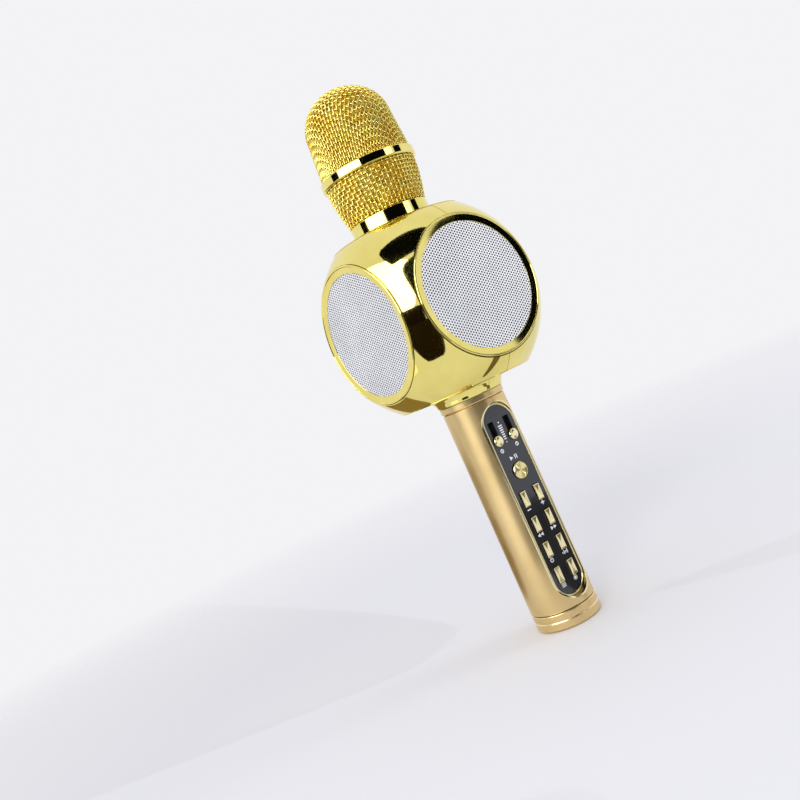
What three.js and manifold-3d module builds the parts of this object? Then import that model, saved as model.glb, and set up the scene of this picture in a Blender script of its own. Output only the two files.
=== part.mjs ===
// Hand-held karaoke microphone with a ball-shaped speaker head, a woven wire
// grille on top and a slim round handle with a key panel.
// Millimetres. +Z runs up the microphone's axis, the base stands on z = 0 with
// the origin at its centre, and the key panel faces -Y.
import * as THREE from "three";
import { mergeVertices } from "three/addons/utils/BufferGeometryUtils.js";
import Module from "manifold-3d";

const wasm = await Module();
wasm.setup();

// ---------------------------------------------------------------- dimensions
const TOTAL_LENGTH = 275; // base to the crown of the grille
const GAP = 0.3; // air left between pieces that rest on one another
const FINE_GAP = 0.2; // air at a moulded seam
const ROUND_STEPS = 32; // sides of a large round piece
const INNER_STEPS = 16; // sides of a round piece hidden inside
const SMALL_STEPS = 16; // sides of a small round piece
const SCREW_STEPS = 8; // sides of a screw, its hole and a switch dome

// Handle tube, base cap and neck collar.
const TUBE_R_BOTTOM = 16.15;
const TUBE_R_TOP = 15.6;
const TUBE_WALL = 1.5;
const TUBE_BOTTOM = 8.6;
const TUBE_TOP = 112.6;
const EDGE = 0.4; // bright chamfer at each end of the tube
const CAP_R = 16.2;
const CAP_TOP = 8.3;
const CAP_EDGE = 1; // chamfer round the foot
const CAP_GROOVE_Z = 4.65;
const CAP_GROOVE = 0.45; // half width and depth of the bright groove
const CAP_SPIGOT_TOP = 11;
const CAP_HOLLOW_R = 12; // the cap is a cup, open inside the handle
const CAP_FLOOR = 3;
const SPIGOT_R = TUBE_R_TOP - TUBE_WALL - GAP;
const COLLAR_R = 15.95;
const COLLAR_BOTTOM = TUBE_TOP + GAP;
const COLLAR_TOP = 115.8;
const COLLAR_BORE_R = 11.5;
const COLLAR_SPIGOT_BOTTOM = 110.9;

// Speaker head: a ball with a flat on each side, a flat crown and a flat chin.
const BALL_R = 52;
const BALL_Z = 161.4;
const BALL_WALL = 2.4;
const FLAT = 39.55; // distance of each side flat from the axis
const FLAT_INSIDE = 35.9;
const CHIN_Z = 120.7;
const CROWN_Z = 202.8;
const SEAM = FINE_GAP / 2;
const NECK_BOTTOM = COLLAR_TOP + FINE_GAP;
const NECK_R_BOTTOM = 16.5;
const NECK_R_TOP = 19.4;
const NECK_FLARE = [[0, 0], [0.3, 1.5], [1.3, 3.3]]; // outwards and up from the neck's foot
const NECK_BORE_R = 14;
const FLANGE_R = 16.6; // collar's clamped flange, inside the neck
const FLANGE_BOTTOM = 123.6;
const FLANGE_TOP = 125.4;
const CROWN_BORE_R = 17.6;

// Trim ring and perforated grille on each side flat.
const RING_R = 33.25;
const RING_CREST = 40.35; // furthest the ring reaches from the axis
const RING_SEAT = 37.9;
const RING_LIP = 0.75; // width of the bright raised lip
const RING_EDGE = 0.35; // drop of the edge outside the lip
const RING_LIFT = 0.1; // air under the ring
const RING_FOOT = 0.15; // height of the ring's inner edge over the grille
const RING_BORE_R = 29.4;
const RING_REBATE_R = 31.2;
const SIDE_GRILLE_R = RING_REBATE_R - FINE_GAP;
const SIDE_GRILLE_FACE = 39.4;
const SIDE_GRILLE_THICK = 0.6;
const SIDE_PORT_R = 26.5;
const PORT_CUT_FROM = 22.4; // where the cutter for a port starts, inside the ball

// Speaker drivers behind two of the grilles, passive diaphragms behind the rest.
const DRIVER_FLANGE_R = 28;
const DRIVER_FRONT = FLAT_INSIDE - GAP;
const DRIVER_FLANGE_THICK = 1.8;
const CONE_R = 24.5;
const CONE_DEPTH = 9;
const DUST_CAP_R = 8;
const BASKET_BACK = 22.5;
const MAGNET_R = 14;
const MAGNET_DEPTH = 7;
const SURROUND_W = 4; // rolled surround at the edge of a cone
const WEIGHT_R = 9; // disc behind a passive diaphragm
const WEIGHT_DEPTH = 2.5;

// Bosses and screws that draw the two halves of the ball together.
const BOSS_OFFSET = 21.9; // from the ball's centre along Y and along Z
const BOSS_R = 2.6;
const BOSS_END = 36.2;
const SHELL_SCREW_HEAD_X = 13;
const SHELL_SCREW_END_X = -10;
const SHELL_SCREW_HEAD_R = 1.9;
const SHELL_SCREW_R = 1.1;
const SHELL_SCREW_HEAD_THICK = 1.6;

// Wire grille over the microphone capsule.
const GRILLE_COLLAR_BOTTOM = CROWN_Z + GAP;
const GRILLE_COLLAR_TOP = 210.8;
const GRILLE_COLLAR_R = 19.5;
const SOCKET_R = CROWN_BORE_R - GAP;
const SOCKET_BORE_R = 15.4;
const SOCKET_TOP = 210.2;
const SOCKET_FLANGE_R = 21;
const SOCKET_FLANGE_THICK = 2;
const FINE_EDGE = 0.3; // small chamfer on a bright ring
const BAND_BOTTOM = 231.4;
const BAND_TOP = 235.9;
const BAND_R = 23.9;
const BAND_BORE_R = 21.6;
const BAND_EDGE = 0.6; // chamfer across the band's two edges
const MESH_THICK = 0.7;
const LOWER_MESH_R_TOP = 22.7;
const DOME_R_BOTTOM = 22.8;
const DOME_SHOULDER_R = 21.4;
const DOME_SHOULDER_Z = 256;
const FOAM_THICK = 2.4;
const FOAM_CLEAR = 0.5;
const CAPSULE_R = 12.6;
const CAPSULE_BOTTOM = 209;
const CAPSULE_TOP = 228;
const MOUNT_R = SOCKET_BORE_R - GAP;
const MOUNT_BOTTOM = 203;
const MOUNT_TOP = 214;
const MOUNT_HOLE_R = 4; // for the capsule's wires

// Key panel, let into a long round-ended window in the tube.
const PANEL_Z = 60.8; // middle of the panel
const WINDOW_HALF_W = 9.75;
const WINDOW_HALF_L = 48.8;
const RIM_HALF_W = 9.4;
const RIM_WIDTH = 0.55;
const RIM_FRONT = 12.25; // distances forward of the axis, towards -Y
const PANEL_FRONT = 11.9;
const PANEL_BACK = 10.4;
const FRAME_FLOOR = 11.2;
const FRAME_BACK = 9.9;
const FRAME_R = SPIGOT_R;
const FRAME_BOTTOM = 11.3;
const FRAME_TOP = 110.5;

// Keys and sliders.
const KEY_X = 4.5;
const KEY_ROWS = [62.8, 50, 37.1, 24.3];
const KEY_W = 3.4;
const KEY_H = 7.6;
const KEY_PROUD = 0.9;
const KEY_CORNER = 0.5;
const KEY_CLEAR = 0.25;
const KEY_BACK = 9.5; // distance of a key's back face forward of the axis
const KEY_FLANGE = 0.6; // lip that keeps a key behind the panel
const ROUND_KEY_Z = 75.7;
const ROUND_KEY_R = 4.1;
const ROUND_KEY_PROUD = 1.1;
const SLIDER_X = 4.9;
const SLIDER_REST_Z = 92.3;
const SLIDER_TRAVEL = 8;
const SLOT_W = 3.6;
const STEM_R = 1.3;
const KNOB_R = 2.6;
const KNOB_PROUD = 1.6;
const KNOB_LIFT = 0.25; // air between the knob and the panel

// Boards and battery inside the handle.
const BOARD_FRONT = 7.5;
const BOARD_THICK = 1.2;
const BOARD_HALF_W = 11;
const BOARD_BOTTOM = 13;
const BOARD_TOP = 108;
const POST_X = 9;
const POST_ROWS = [16, 105.5];
const POST_R = 1.3;
const BOARD_SCREW_R = 0.8;
const BOARD_SCREW_HEAD_R = 1.7;
const DOME_SWITCH_R = 1.4;
const CELL_R = 9.1;
const CELL_LENGTH = 65;
const CELL_BOTTOM = 14.5;
const CELL_Y = 3.2;
const CRADLE_WALL = 0.9;
const TERMINAL_R = 3; // button on top of the cell
const TERMINAL_HEIGHT = 1;
const CHARGE_Z = 96;
const CHARGE_HALF_W = 3.75;
const CHARGE_HALF_H = 1.4;
const CHARGE_FACE = 15;
const CHARGE_BOARD_Y = 8.4;
const CHARGE_BOARD_HALF_W = 7;
const CHARGE_BOARD_HALF_H = 9;
const POT_HALF_W = 3;
const POT_END = 1.6; // body of a slide potentiometer past its knob's travel
const MEMBRANE_THICK = 0.5;
const SWITCH_CLEAR = 0.6; // air between a switch dome and its key
const BOARD_SCREW_HEAD_THICK = 1;

// ----------------------------------------------------------------- materials
function finish(color, roughness, metalness) {
  return new THREE.MeshStandardMaterial({ color, roughness, metalness });
}
const POLISHED_GOLD = finish("#e6cf7c", 0.08, 1);
const SATIN_GOLD = finish("#d9b36c", 0.35, 1);
const MESH_GOLD = finish("#d2a934", 0.3, 1);
const PERFORATED = finish("#d6d7dc", 0.4, 0.6);
const PANEL_BLACK = finish("#23262d", 0.15, 0);
const BLACK_PLASTIC = finish("#18181a", 0.5, 0);
const CONE_PAPER = finish("#222222", 0.9, 0);
const FERRITE = finish("#3a3a3c", 0.6, 0.3);
const BOARD_GREEN = finish("#1f5c3a", 0.5, 0);
const STEEL = finish("#b9bbbf", 0.3, 1);
const CELL_WRAP = finish("#2f6fb0", 0.4, 0);
const SILICONE = finish("#8d8f92", 0.7, 0);
const FOAM = finish("#1a1a1a", 1, 0);

// ------------------------------------------------------------- solid helpers
const microphone = new THREE.Group();
microphone.name = "karaoke_microphone";

// Closed geometry as a manifold-3d solid, moved by an optional matrix.
function toSolid(geometry, matrix = new THREE.Matrix4()) {
  const bare = geometry.clone().applyMatrix4(matrix);
  bare.deleteAttribute("normal");
  bare.deleteAttribute("uv");
  const merged = mergeVertices(bare, 1e-4);
  return new wasm.Manifold(
    new wasm.Mesh({
      numProp: 3,
      vertProperties: merged.attributes.position.array,
      triVerts: new Uint32Array(merged.index.array),
    }),
  );
}

function toGeometry(solid) {
  const mesh = solid.getMesh();
  const geometry = new THREE.BufferGeometry();
  geometry.setAttribute(
    "position",
    new THREE.BufferAttribute(mesh.vertProperties, 3),
  );
  geometry.setIndex(new THREE.BufferAttribute(mesh.triVerts, 1));
  const faceted = geometry.toNonIndexed();
  faceted.computeVertexNormals();
  return faceted;
}

function addMesh(name, geometry, material, group = microphone) {
  const mesh = new THREE.Mesh(geometry, material);
  mesh.name = name;
  group.add(mesh);
  return mesh;
}

function addSolid(name, solid, material, group = microphone) {
  return addMesh(name, toGeometry(solid), material, group);
}

// Round piece about +Z from [radius, height] points, anticlockwise round the
// section. A section that touches the axis is left open there.
function turned(points, steps = ROUND_STEPS) {
  const outline = points.map(([r, z]) => new THREE.Vector2(r, z));
  const touchesAxis = points[0][0] === 0 && points.at(-1)[0] === 0;
  if (!touchesAxis) outline.push(outline[0].clone());
  return new THREE.LatheGeometry(outline, steps).rotateX(Math.PI / 2);
}

// Points of a quarter of an ellipse, from its widest point up to the axis.
function crown(radius, bottom, height, steps) {
  return Array.from({ length: steps + 1 }, (_, i) => {
    const angle = (i / steps) * (Math.PI / 2);
    const r = i === steps ? 0 : radius * Math.cos(angle);
    return [r, bottom + height * Math.sin(angle)];
  });
}

// Points on the ball's outline between two heights.
function ballArc(radius, low, high, steps) {
  const from = Math.asin((low - BALL_Z) / radius);
  const to = Math.asin((high - BALL_Z) / radius);
  return Array.from({ length: steps + 1 }, (_, i) => {
    const angle = from + ((to - from) * i) / steps;
    return [radius * Math.cos(angle), BALL_Z + radius * Math.sin(angle)];
  });
}

function block(low, high) {
  const size = high.map((v, i) => v - low[i]);
  const middle = high.map((v, i) => (v + low[i]) / 2);
  return toSolid(new THREE.BoxGeometry(...size).translate(...middle));
}

// Cylinder along +Y between two distances forward of the axis (towards -Y).
function forwardRod(x, z, radius, back, front, steps = SMALL_STEPS) {
  const rod = new THREE.CylinderGeometry(radius, radius, front - back, steps);
  return toSolid(rod.translate(x, -(front + back) / 2, z));
}

// Rounded rectangle about the origin, drawn in the panel's plane.
function roundedShape(halfW, halfL, corner) {
  const shape = new THREE.Shape();
  const x = halfW - corner;
  const y = halfL - corner;
  shape.absarc(x, y, corner, 0, Math.PI / 2);
  shape.absarc(-x, y, corner, Math.PI / 2, Math.PI);
  shape.absarc(-x, -y, corner, Math.PI, 1.5 * Math.PI);
  shape.absarc(x, -y, corner, 1.5 * Math.PI, 2 * Math.PI);
  shape.closePath();
  return shape;
}

// Rounded slab facing -Y, between two distances forward of the axis.
function slab(x, z, halfW, halfL, corner, back, front, steps = 6) {
  const shape = roundedShape(halfW, halfL, Math.min(corner, halfW - 1e-3));
  const geometry = new THREE.ExtrudeGeometry(shape, {
    depth: front - back,
    bevelEnabled: false,
    curveSegments: steps,
  });
  geometry.rotateX(Math.PI / 2);
  return toSolid(geometry.translate(x, -back, z));
}

function windowSlab(halfW, back, front) {
  const halfL = WINDOW_HALF_L - WINDOW_HALF_W + halfW;
  return slab(0, PANEL_Z, halfW, halfL, halfW, back, front);
}

// -------------------------------------------------------------------- handle
function baseCap() {
  const g = CAP_GROOVE;
  return turned([
    [0, 0],
    [CAP_R - CAP_EDGE, 0],
    [CAP_R, CAP_EDGE],
    [CAP_R, CAP_GROOVE_Z - g],
    [CAP_R - g, CAP_GROOVE_Z],
    [CAP_R, CAP_GROOVE_Z + g],
    [CAP_R, CAP_TOP - EDGE],
    [CAP_R - EDGE, CAP_TOP],
    [SPIGOT_R, CAP_TOP],
    [SPIGOT_R, CAP_SPIGOT_TOP],
    [CAP_HOLLOW_R, CAP_SPIGOT_TOP],
    [CAP_HOLLOW_R, CAP_FLOOR],
    [0, CAP_FLOOR],
  ]);
}

// The tube with its long window in front and the charging hole behind.
function handleTube() {
  const blank = toSolid(
    turned([
      [TUBE_R_BOTTOM - TUBE_WALL, TUBE_BOTTOM],
      [TUBE_R_BOTTOM - EDGE, TUBE_BOTTOM],
      [TUBE_R_BOTTOM, TUBE_BOTTOM + EDGE],
      [TUBE_R_TOP, TUBE_TOP - EDGE],
      [TUBE_R_TOP - EDGE, TUBE_TOP],
      [TUBE_R_TOP - TUBE_WALL, TUBE_TOP],
    ]),
  );
  const hole = block(
    [-CHARGE_HALF_W - GAP, 0, CHARGE_Z - CHARGE_HALF_H - GAP],
    [CHARGE_HALF_W + GAP, 2 * TUBE_R_TOP, CHARGE_Z + CHARGE_HALF_H + GAP],
  );
  const front = 2 * TUBE_R_TOP;
  return blank.subtract(windowSlab(WINDOW_HALF_W, 0, front)).subtract(hole);
}

// Collar between tube and ball, with a spigot down and a clamped flange up.
function neckCollar() {
  const neckR = NECK_BORE_R - GAP;
  return turned([
    [COLLAR_BORE_R, COLLAR_SPIGOT_BOTTOM],
    [SPIGOT_R, COLLAR_SPIGOT_BOTTOM],
    [SPIGOT_R, COLLAR_BOTTOM],
    [COLLAR_R - EDGE, COLLAR_BOTTOM],
    [COLLAR_R, COLLAR_BOTTOM + EDGE],
    [COLLAR_R, COLLAR_TOP],
    [neckR, COLLAR_TOP],
    [neckR, FLANGE_BOTTOM],
    [FLANGE_R, FLANGE_BOTTOM],
    [FLANGE_R, FLANGE_TOP],
    [COLLAR_BORE_R, FLANGE_TOP],
  ]);
}

// Frame inside the window: it closes the wells at the window's two ends,
// carries the bright rim round the panel, and has four posts for the board.
function panelFrame() {
  const bar = toSolid(
    turned([
      [0, FRAME_BOTTOM],
      [FRAME_R, FRAME_BOTTOM],
      [FRAME_R, FRAME_TOP],
      [0, FRAME_TOP],
    ]),
  );
  const front = 2 * FRAME_R;
  const keep = block([-front, -front, 0], [front, -FRAME_BACK, TOTAL_LENGTH]);
  const rim = windowSlab(RIM_HALF_W, FRAME_BACK, RIM_FRONT);
  const inside = windowSlab(RIM_HALF_W - RIM_WIDTH, 0, front);
  let frame = bar.intersect(keep);
  frame = frame.subtract(windowSlab(WINDOW_HALF_W, FRAME_FLOOR, front));
  frame = frame.add(rim).subtract(inside);
  for (const z of POST_ROWS) {
    for (const x of [-POST_X, POST_X]) {
      const back = BOARD_FRONT + FINE_GAP;
      const reach = FRAME_BACK + GAP;
      const holeR = BOARD_SCREW_R + FINE_GAP;
      const post = forwardRod(x, z, POST_R, back, reach, SCREW_STEPS);
      frame = frame
        .add(post.intersect(bar))
        .subtract(forwardRod(x, z, holeR, 0, reach, SCREW_STEPS));
    }
  }
  return frame;
}

// Cutter for a key's hole or the key's own shaft, grown by a margin.
function keySlab(x, z, margin, back, front) {
  const corner = KEY_CORNER + Math.max(margin, 0);
  return slab(
    x,
    z,
    KEY_W / 2 + margin,
    KEY_H / 2 + margin,
    corner,
    back,
    front,
    1,
  );
}

function slotSlab(x, margin, back, front) {
  const reach = STEM_R + KEY_CLEAR;
  const halfL = SLIDER_TRAVEL / 2 + reach + margin;
  const halfW = SLOT_W / 2 + margin;
  const middle = SLIDER_REST_Z + SLIDER_TRAVEL / 2;
  return slab(x, middle, halfW, halfL, KEY_CORNER, back, front, 1);
}

function panelPlate() {
  const halfW = RIM_HALF_W - RIM_WIDTH - FINE_GAP;
  let plate = windowSlab(halfW, PANEL_BACK, PANEL_FRONT);
  for (const x of [-KEY_X, KEY_X]) {
    for (const z of KEY_ROWS) {
      plate = plate.subtract(keySlab(x, z, KEY_CLEAR, 0, 2 * PANEL_FRONT));
    }
  }
  for (const x of [-SLIDER_X, SLIDER_X]) {
    plate = plate.subtract(slotSlab(x, 0, 0, 2 * PANEL_FRONT));
  }
  const holeR = ROUND_KEY_R + KEY_CLEAR;
  return plate.subtract(
    forwardRod(0, ROUND_KEY_Z, holeR, 0, 2 * PANEL_FRONT, SMALL_STEPS),
  );
}

// Rectangular key: a bevelled cap above the panel and a lip behind it.
function rectangularKey(x, z) {
  const face = PANEL_FRONT + KEY_PROUD;
  const lipFront = PANEL_BACK - GAP;
  const shaft = keySlab(x, z, 0, KEY_BACK, face - KEY_PROUD / 3);
  const top = keySlab(x, z, -0.3, PANEL_FRONT, face);
  const lip = keySlab(x, z, KEY_FLANGE, KEY_BACK, lipFront);
  return shaft.add(top).add(lip);
}

// Round key: a low truncated cone with a lip behind the panel.
function roundKey() {
  const face = PANEL_FRONT + ROUND_KEY_PROUD;
  const lip = PANEL_BACK - GAP;
  const geometry = turned(
    [
      [0, KEY_BACK],
      [ROUND_KEY_R + KEY_FLANGE, KEY_BACK],
      [ROUND_KEY_R + KEY_FLANGE, lip],
      [ROUND_KEY_R, lip],
      [ROUND_KEY_R, face - ROUND_KEY_PROUD / 2],
      [ROUND_KEY_R - 0.5, face],
      [0, face - 0.25],
    ],
    SMALL_STEPS,
  );
  geometry.rotateX(Math.PI / 2);
  return geometry.translate(0, 0, ROUND_KEY_Z);
}

// Slider knob: a low domed button on a stem that passes through the slot.
function sliderKnob(x) {
  const seat = PANEL_FRONT + KNOB_LIFT;
  const top = PANEL_FRONT + KNOB_PROUD;
  const geometry = turned(
    [
      [0, KEY_BACK],
      [STEM_R, KEY_BACK],
      [STEM_R, seat],
      [KNOB_R, seat],
      [KNOB_R, top - 0.6],
      [KNOB_R - 0.5, top - 0.15],
      [0, top],
    ],
    SMALL_STEPS,
  );
  geometry.rotateX(Math.PI / 2);
  return geometry.translate(x, 0, SLIDER_REST_Z);
}

function controlBoard() {
  let board = block(
    [-BOARD_HALF_W, -BOARD_FRONT, BOARD_BOTTOM],
    [BOARD_HALF_W, BOARD_THICK - BOARD_FRONT, BOARD_TOP],
  );
  for (const z of POST_ROWS) {
    for (const x of [-POST_X, POST_X]) {
      const holeR = BOARD_SCREW_R + FINE_GAP;
      board = board.subtract(
        forwardRod(x, z, holeR, 0, 2 * BOARD_FRONT, SCREW_STEPS),
      );
    }
  }
  return board;
}

// Silicone sheet on the board with one switch dome behind each key.
function keyMembrane() {
  const sheetBack = BOARD_FRONT + FINE_GAP;
  const sheetFront = sheetBack + MEMBRANE_THICK;
  const domeFront = KEY_BACK - SWITCH_CLEAR;
  let sheet = block(
    [-KEY_X - KEY_W / 2, -sheetFront, KEY_ROWS.at(-1) - KEY_H / 2],
    [KEY_X + KEY_W / 2, -sheetBack, ROUND_KEY_Z + ROUND_KEY_R],
  );
  const domes = KEY_ROWS.flatMap((z) => [
    [-KEY_X, z],
    [KEY_X, z],
  ]);
  domes.push([0, ROUND_KEY_Z]);
  for (const [x, z] of domes) {
    sheet = sheet.add(
      forwardRod(x, z, DOME_SWITCH_R, sheetBack, domeFront, SCREW_STEPS),
    );
  }
  return sheet;
}

// Slide potentiometer under a slot, with a groove for the knob's stem.
function slidePot(x) {
  const front = PANEL_BACK - GAP;
  const back = BOARD_FRONT + FINE_GAP;
  const reach = SLIDER_TRAVEL / 2 + STEM_R;
  const middle = SLIDER_REST_Z + SLIDER_TRAVEL / 2;
  const body = block(
    [x - POT_HALF_W, -front, middle - reach - POT_END],
    [x + POT_HALF_W, -back, middle + reach + POT_END],
  );
  const groove = block(
    [x - STEM_R - GAP, -2 * front, middle - reach - GAP],
    [x + STEM_R + GAP, GAP - KEY_BACK, middle + reach + GAP],
  );
  return body.subtract(groove);
}

function boardScrew(x, z) {
  const seat = BOARD_FRONT - BOARD_THICK - FINE_GAP;
  const geometry = turned(
    [
      [0, seat - BOARD_SCREW_HEAD_THICK],
      [BOARD_SCREW_HEAD_R, seat - BOARD_SCREW_HEAD_THICK],
      [BOARD_SCREW_HEAD_R, seat],
      [BOARD_SCREW_R, seat],
      [BOARD_SCREW_R, FRAME_BACK],
      [0, FRAME_BACK],
    ],
    SCREW_STEPS,
  );
  geometry.rotateX(Math.PI / 2);
  return geometry.translate(x, 0, z);
}

function batteryCell() {
  const top = CELL_BOTTOM + CELL_LENGTH;
  const geometry = turned(
    [
      [0, CELL_BOTTOM],
      [CELL_R - 0.4, CELL_BOTTOM],
      [CELL_R, CELL_BOTTOM + 0.4],
      [CELL_R, top - 1.6],
      [CELL_R - 0.5, top - TERMINAL_HEIGHT],
      [TERMINAL_R, top - TERMINAL_HEIGHT],
      [TERMINAL_R, top],
      [0, top],
    ],
    INNER_STEPS,
  );
  return geometry.translate(0, CELL_Y, 0);
}

// Trough behind the cell, with a wall at each end.
function batteryCradle() {
  const low = CELL_BOTTOM - GAP - CRADLE_WALL;
  const high = CELL_BOTTOM + CELL_LENGTH + GAP + CRADLE_WALL;
  const hollowR = CELL_R + FINE_GAP;
  const outerR = hollowR + CRADLE_WALL;
  const rod = (r, a, b) =>
    toSolid(
      turned([[0, a], [r, a], [r, b], [0, b]], INNER_STEPS).translate(0, CELL_Y, 0),
    );
  const inner = rod(hollowR, CELL_BOTTOM - GAP, high - CRADLE_WALL);
  const back = block([-outerR, CELL_Y, low], [outerR, TUBE_R_TOP, high]);
  return rod(outerR, low, high).subtract(inner).intersect(back);
}

function chargeBoard() {
  return block(
    [-CHARGE_BOARD_HALF_W, CHARGE_BOARD_Y, CHARGE_Z - CHARGE_BOARD_HALF_H],
    [
      CHARGE_BOARD_HALF_W,
      CHARGE_BOARD_Y + BOARD_THICK,
      CHARGE_Z + CHARGE_BOARD_HALF_H,
    ],
  );
}

// Charging socket: an open-fronted metal shell with a contact tongue.
function chargeSocket() {
  const back = CHARGE_BOARD_Y + BOARD_THICK + FINE_GAP;
  const wall = 0.35;
  const shell = block(
    [-CHARGE_HALF_W, back, CHARGE_Z - CHARGE_HALF_H],
    [CHARGE_HALF_W, CHARGE_FACE, CHARGE_Z + CHARGE_HALF_H],
  );
  const hollow = block(
    [wall - CHARGE_HALF_W, back + 1, CHARGE_Z - CHARGE_HALF_H + wall],
    [CHARGE_HALF_W - wall, 2 * CHARGE_FACE, CHARGE_Z + CHARGE_HALF_H - wall],
  );
  const tongue = block(
    [-2, back, CHARGE_Z + 0.1],
    [2, CHARGE_FACE - 1, CHARGE_Z + 0.6],
  );
  return shell.subtract(hollow).add(tongue);
}

function addHandle() {
  addMesh("base_cap", baseCap(), SATIN_GOLD);
  addSolid("handle_tube", handleTube(), SATIN_GOLD);
  addMesh("neck_collar", neckCollar(), SATIN_GOLD);
  addSolid("panel_frame", panelFrame(), POLISHED_GOLD);
  addSolid("panel_plate", panelPlate(), PANEL_BLACK);
  KEY_ROWS.forEach((z, row) => {
    const number = row + 1;
    addSolid(`key_left_${number}`, rectangularKey(-KEY_X, z), POLISHED_GOLD);
    addSolid(`key_right_${number}`, rectangularKey(KEY_X, z), POLISHED_GOLD);
  });
  addMesh("key_round", roundKey(), POLISHED_GOLD);
  addMesh("slider_knob_left", sliderKnob(-SLIDER_X), POLISHED_GOLD);
  addMesh("slider_knob_right", sliderKnob(SLIDER_X), POLISHED_GOLD);
  addSolid("slide_pot_left", slidePot(-SLIDER_X), BLACK_PLASTIC);
  addSolid("slide_pot_right", slidePot(SLIDER_X), BLACK_PLASTIC);
  addSolid("key_membrane", keyMembrane(), SILICONE);
  addSolid("control_board", controlBoard(), BOARD_GREEN);
  POST_ROWS.forEach((z, row) => {
    const place = row === 0 ? "lower" : "upper";
    addMesh(`board_screw_${place}_left`, boardScrew(-POST_X, z), STEEL);
    addMesh(`board_screw_${place}_right`, boardScrew(POST_X, z), STEEL);
  });
  addMesh("battery_cell", batteryCell(), CELL_WRAP);
  addSolid("battery_cradle", batteryCradle(), BLACK_PLASTIC);
  addSolid("charge_board", chargeBoard(), BOARD_GREEN);
  addSolid("charge_socket", chargeSocket(), STEEL);
}

// ---------------------------------------------------------------------- head
// The ball's outer skin with its neck, as a solid without the side flats cut.
function ballOutside() {
  return toSolid(
    turned([
      [0, NECK_BOTTOM],
      ...NECK_FLARE.map(([out, up]) => [NECK_R_BOTTOM + out, NECK_BOTTOM + up]),
      [NECK_R_TOP, CHIN_Z],
      ...ballArc(BALL_R, CHIN_Z, CROWN_Z, 12),
      [0, CROWN_Z],
    ]),
  );
}

function ballInside() {
  const r = BALL_R - BALL_WALL;
  const low = CHIN_Z + BALL_WALL;
  const high = CROWN_Z - BALL_WALL;
  const line = [[0, low], ...ballArc(r, low, high, 7), [0, high]];
  return toSolid(turned(line, INNER_STEPS));
}

function boxedBy(reach, solid) {
  const low = [-reach, -reach, 0];
  return solid.intersect(block(low, [reach, reach, TOTAL_LENGTH]));
}

// Turns a piece drawn about +Z, its front up, to face one of the four sides.
// The quarter counts from the front (-Y) towards +X.
function sideMatrix(quarter) {
  const toFront = new THREE.Matrix4().makeRotationX(Math.PI / 2);
  const turn = new THREE.Matrix4().makeRotationZ((quarter * Math.PI) / 2);
  const lift = new THREE.Matrix4().makeTranslation(0, 0, BALL_Z);
  return lift.multiply(turn).multiply(toFront);
}

function sideDisc(radius, low, high, quarter) {
  const points = [[0, low], [radius, low], [radius, high], [0, high]];
  return toSolid(turned(points), sideMatrix(quarter));
}

// Rod along X inside the ball, at one of the four boss places.
function bossRod(y, z, radius, from, to) {
  const rod = new THREE.CylinderGeometry(radius, radius, to - from, 10);
  rod.rotateZ(Math.PI / 2);
  return toSolid(rod.translate((from + to) / 2, y, BALL_Z + z));
}

const BOSS_PLACES = [
  [-BOSS_OFFSET, -BOSS_OFFSET],
  [BOSS_OFFSET, -BOSS_OFFSET],
  [-BOSS_OFFSET, BOSS_OFFSET],
  [BOSS_OFFSET, BOSS_OFFSET],
];

// The whole hollow ball before it is split down the seam.
function wholeBall() {
  let ball = boxedBy(FLAT, ballOutside());
  ball = ball.subtract(boxedBy(FLAT_INSIDE, ballInside()));
  for (let quarter = 0; quarter < 4; quarter++) {
    const pocketR = RING_R + FINE_GAP;
    ball = ball.subtract(sideDisc(pocketR, RING_SEAT, 2 * FLAT, quarter));
    ball = ball.subtract(sideDisc(SIDE_PORT_R, PORT_CUT_FROM, FLAT, quarter));
  }
  const bore = (r, low, high) =>
    toSolid(turned([[0, low], [r, low], [r, high], [0, high]]));
  ball = ball.subtract(bore(NECK_BORE_R, 0, BALL_Z));
  ball = ball.subtract(bore(CROWN_BORE_R, BALL_Z, TOTAL_LENGTH));
  for (const [y, z] of BOSS_PLACES) {
    ball = ball.add(bossRod(y, z, BOSS_R, -BOSS_END, BOSS_END));
  }
  for (const [y, z] of BOSS_PLACES) {
    const well = SHELL_SCREW_HEAD_R + FINE_GAP;
    const hole = SHELL_SCREW_R + FINE_GAP;
    const seat = SHELL_SCREW_HEAD_X - FINE_GAP;
    ball = ball.subtract(bossRod(y, z, well, seat, RING_SEAT + 1));
    ball = ball.subtract(bossRod(y, z, hole, SHELL_SCREW_END_X - 1, seat + 1));
  }
  return ball;
}

function ballHalf(ball, side) {
  const far = 2 * BALL_R;
  const low = side < 0 ? -far : SEAM;
  const high = side < 0 ? -SEAM : far;
  return ball.intersect(block([low, -far, 0], [high, far, TOTAL_LENGTH]));
}

// Trim ring: a thin raised lip, then a shallow slope down to the grille.
function trimRing() {
  const slopeR = RING_R - RING_LIP;
  return turned([
    [RING_REBATE_R, RING_SEAT + RING_LIFT],
    [RING_R, RING_SEAT + RING_LIFT],
    [RING_R, RING_CREST - RING_EDGE],
    [RING_R - 0.25, RING_CREST],
    [slopeR + 0.2, RING_CREST],
    [slopeR, RING_CREST - 0.3],
    [RING_BORE_R, SIDE_GRILLE_FACE + RING_FOOT],
    [RING_REBATE_R, SIDE_GRILLE_FACE + RING_FOOT],
  ]);
}

function sideGrille() {
  const back = SIDE_GRILLE_FACE - SIDE_GRILLE_THICK;
  return turned([
    [0, back],
    [SIDE_GRILLE_R, back],
    [SIDE_GRILLE_R, SIDE_GRILLE_FACE],
    [0, SIDE_GRILLE_FACE],
  ]);
}

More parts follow.
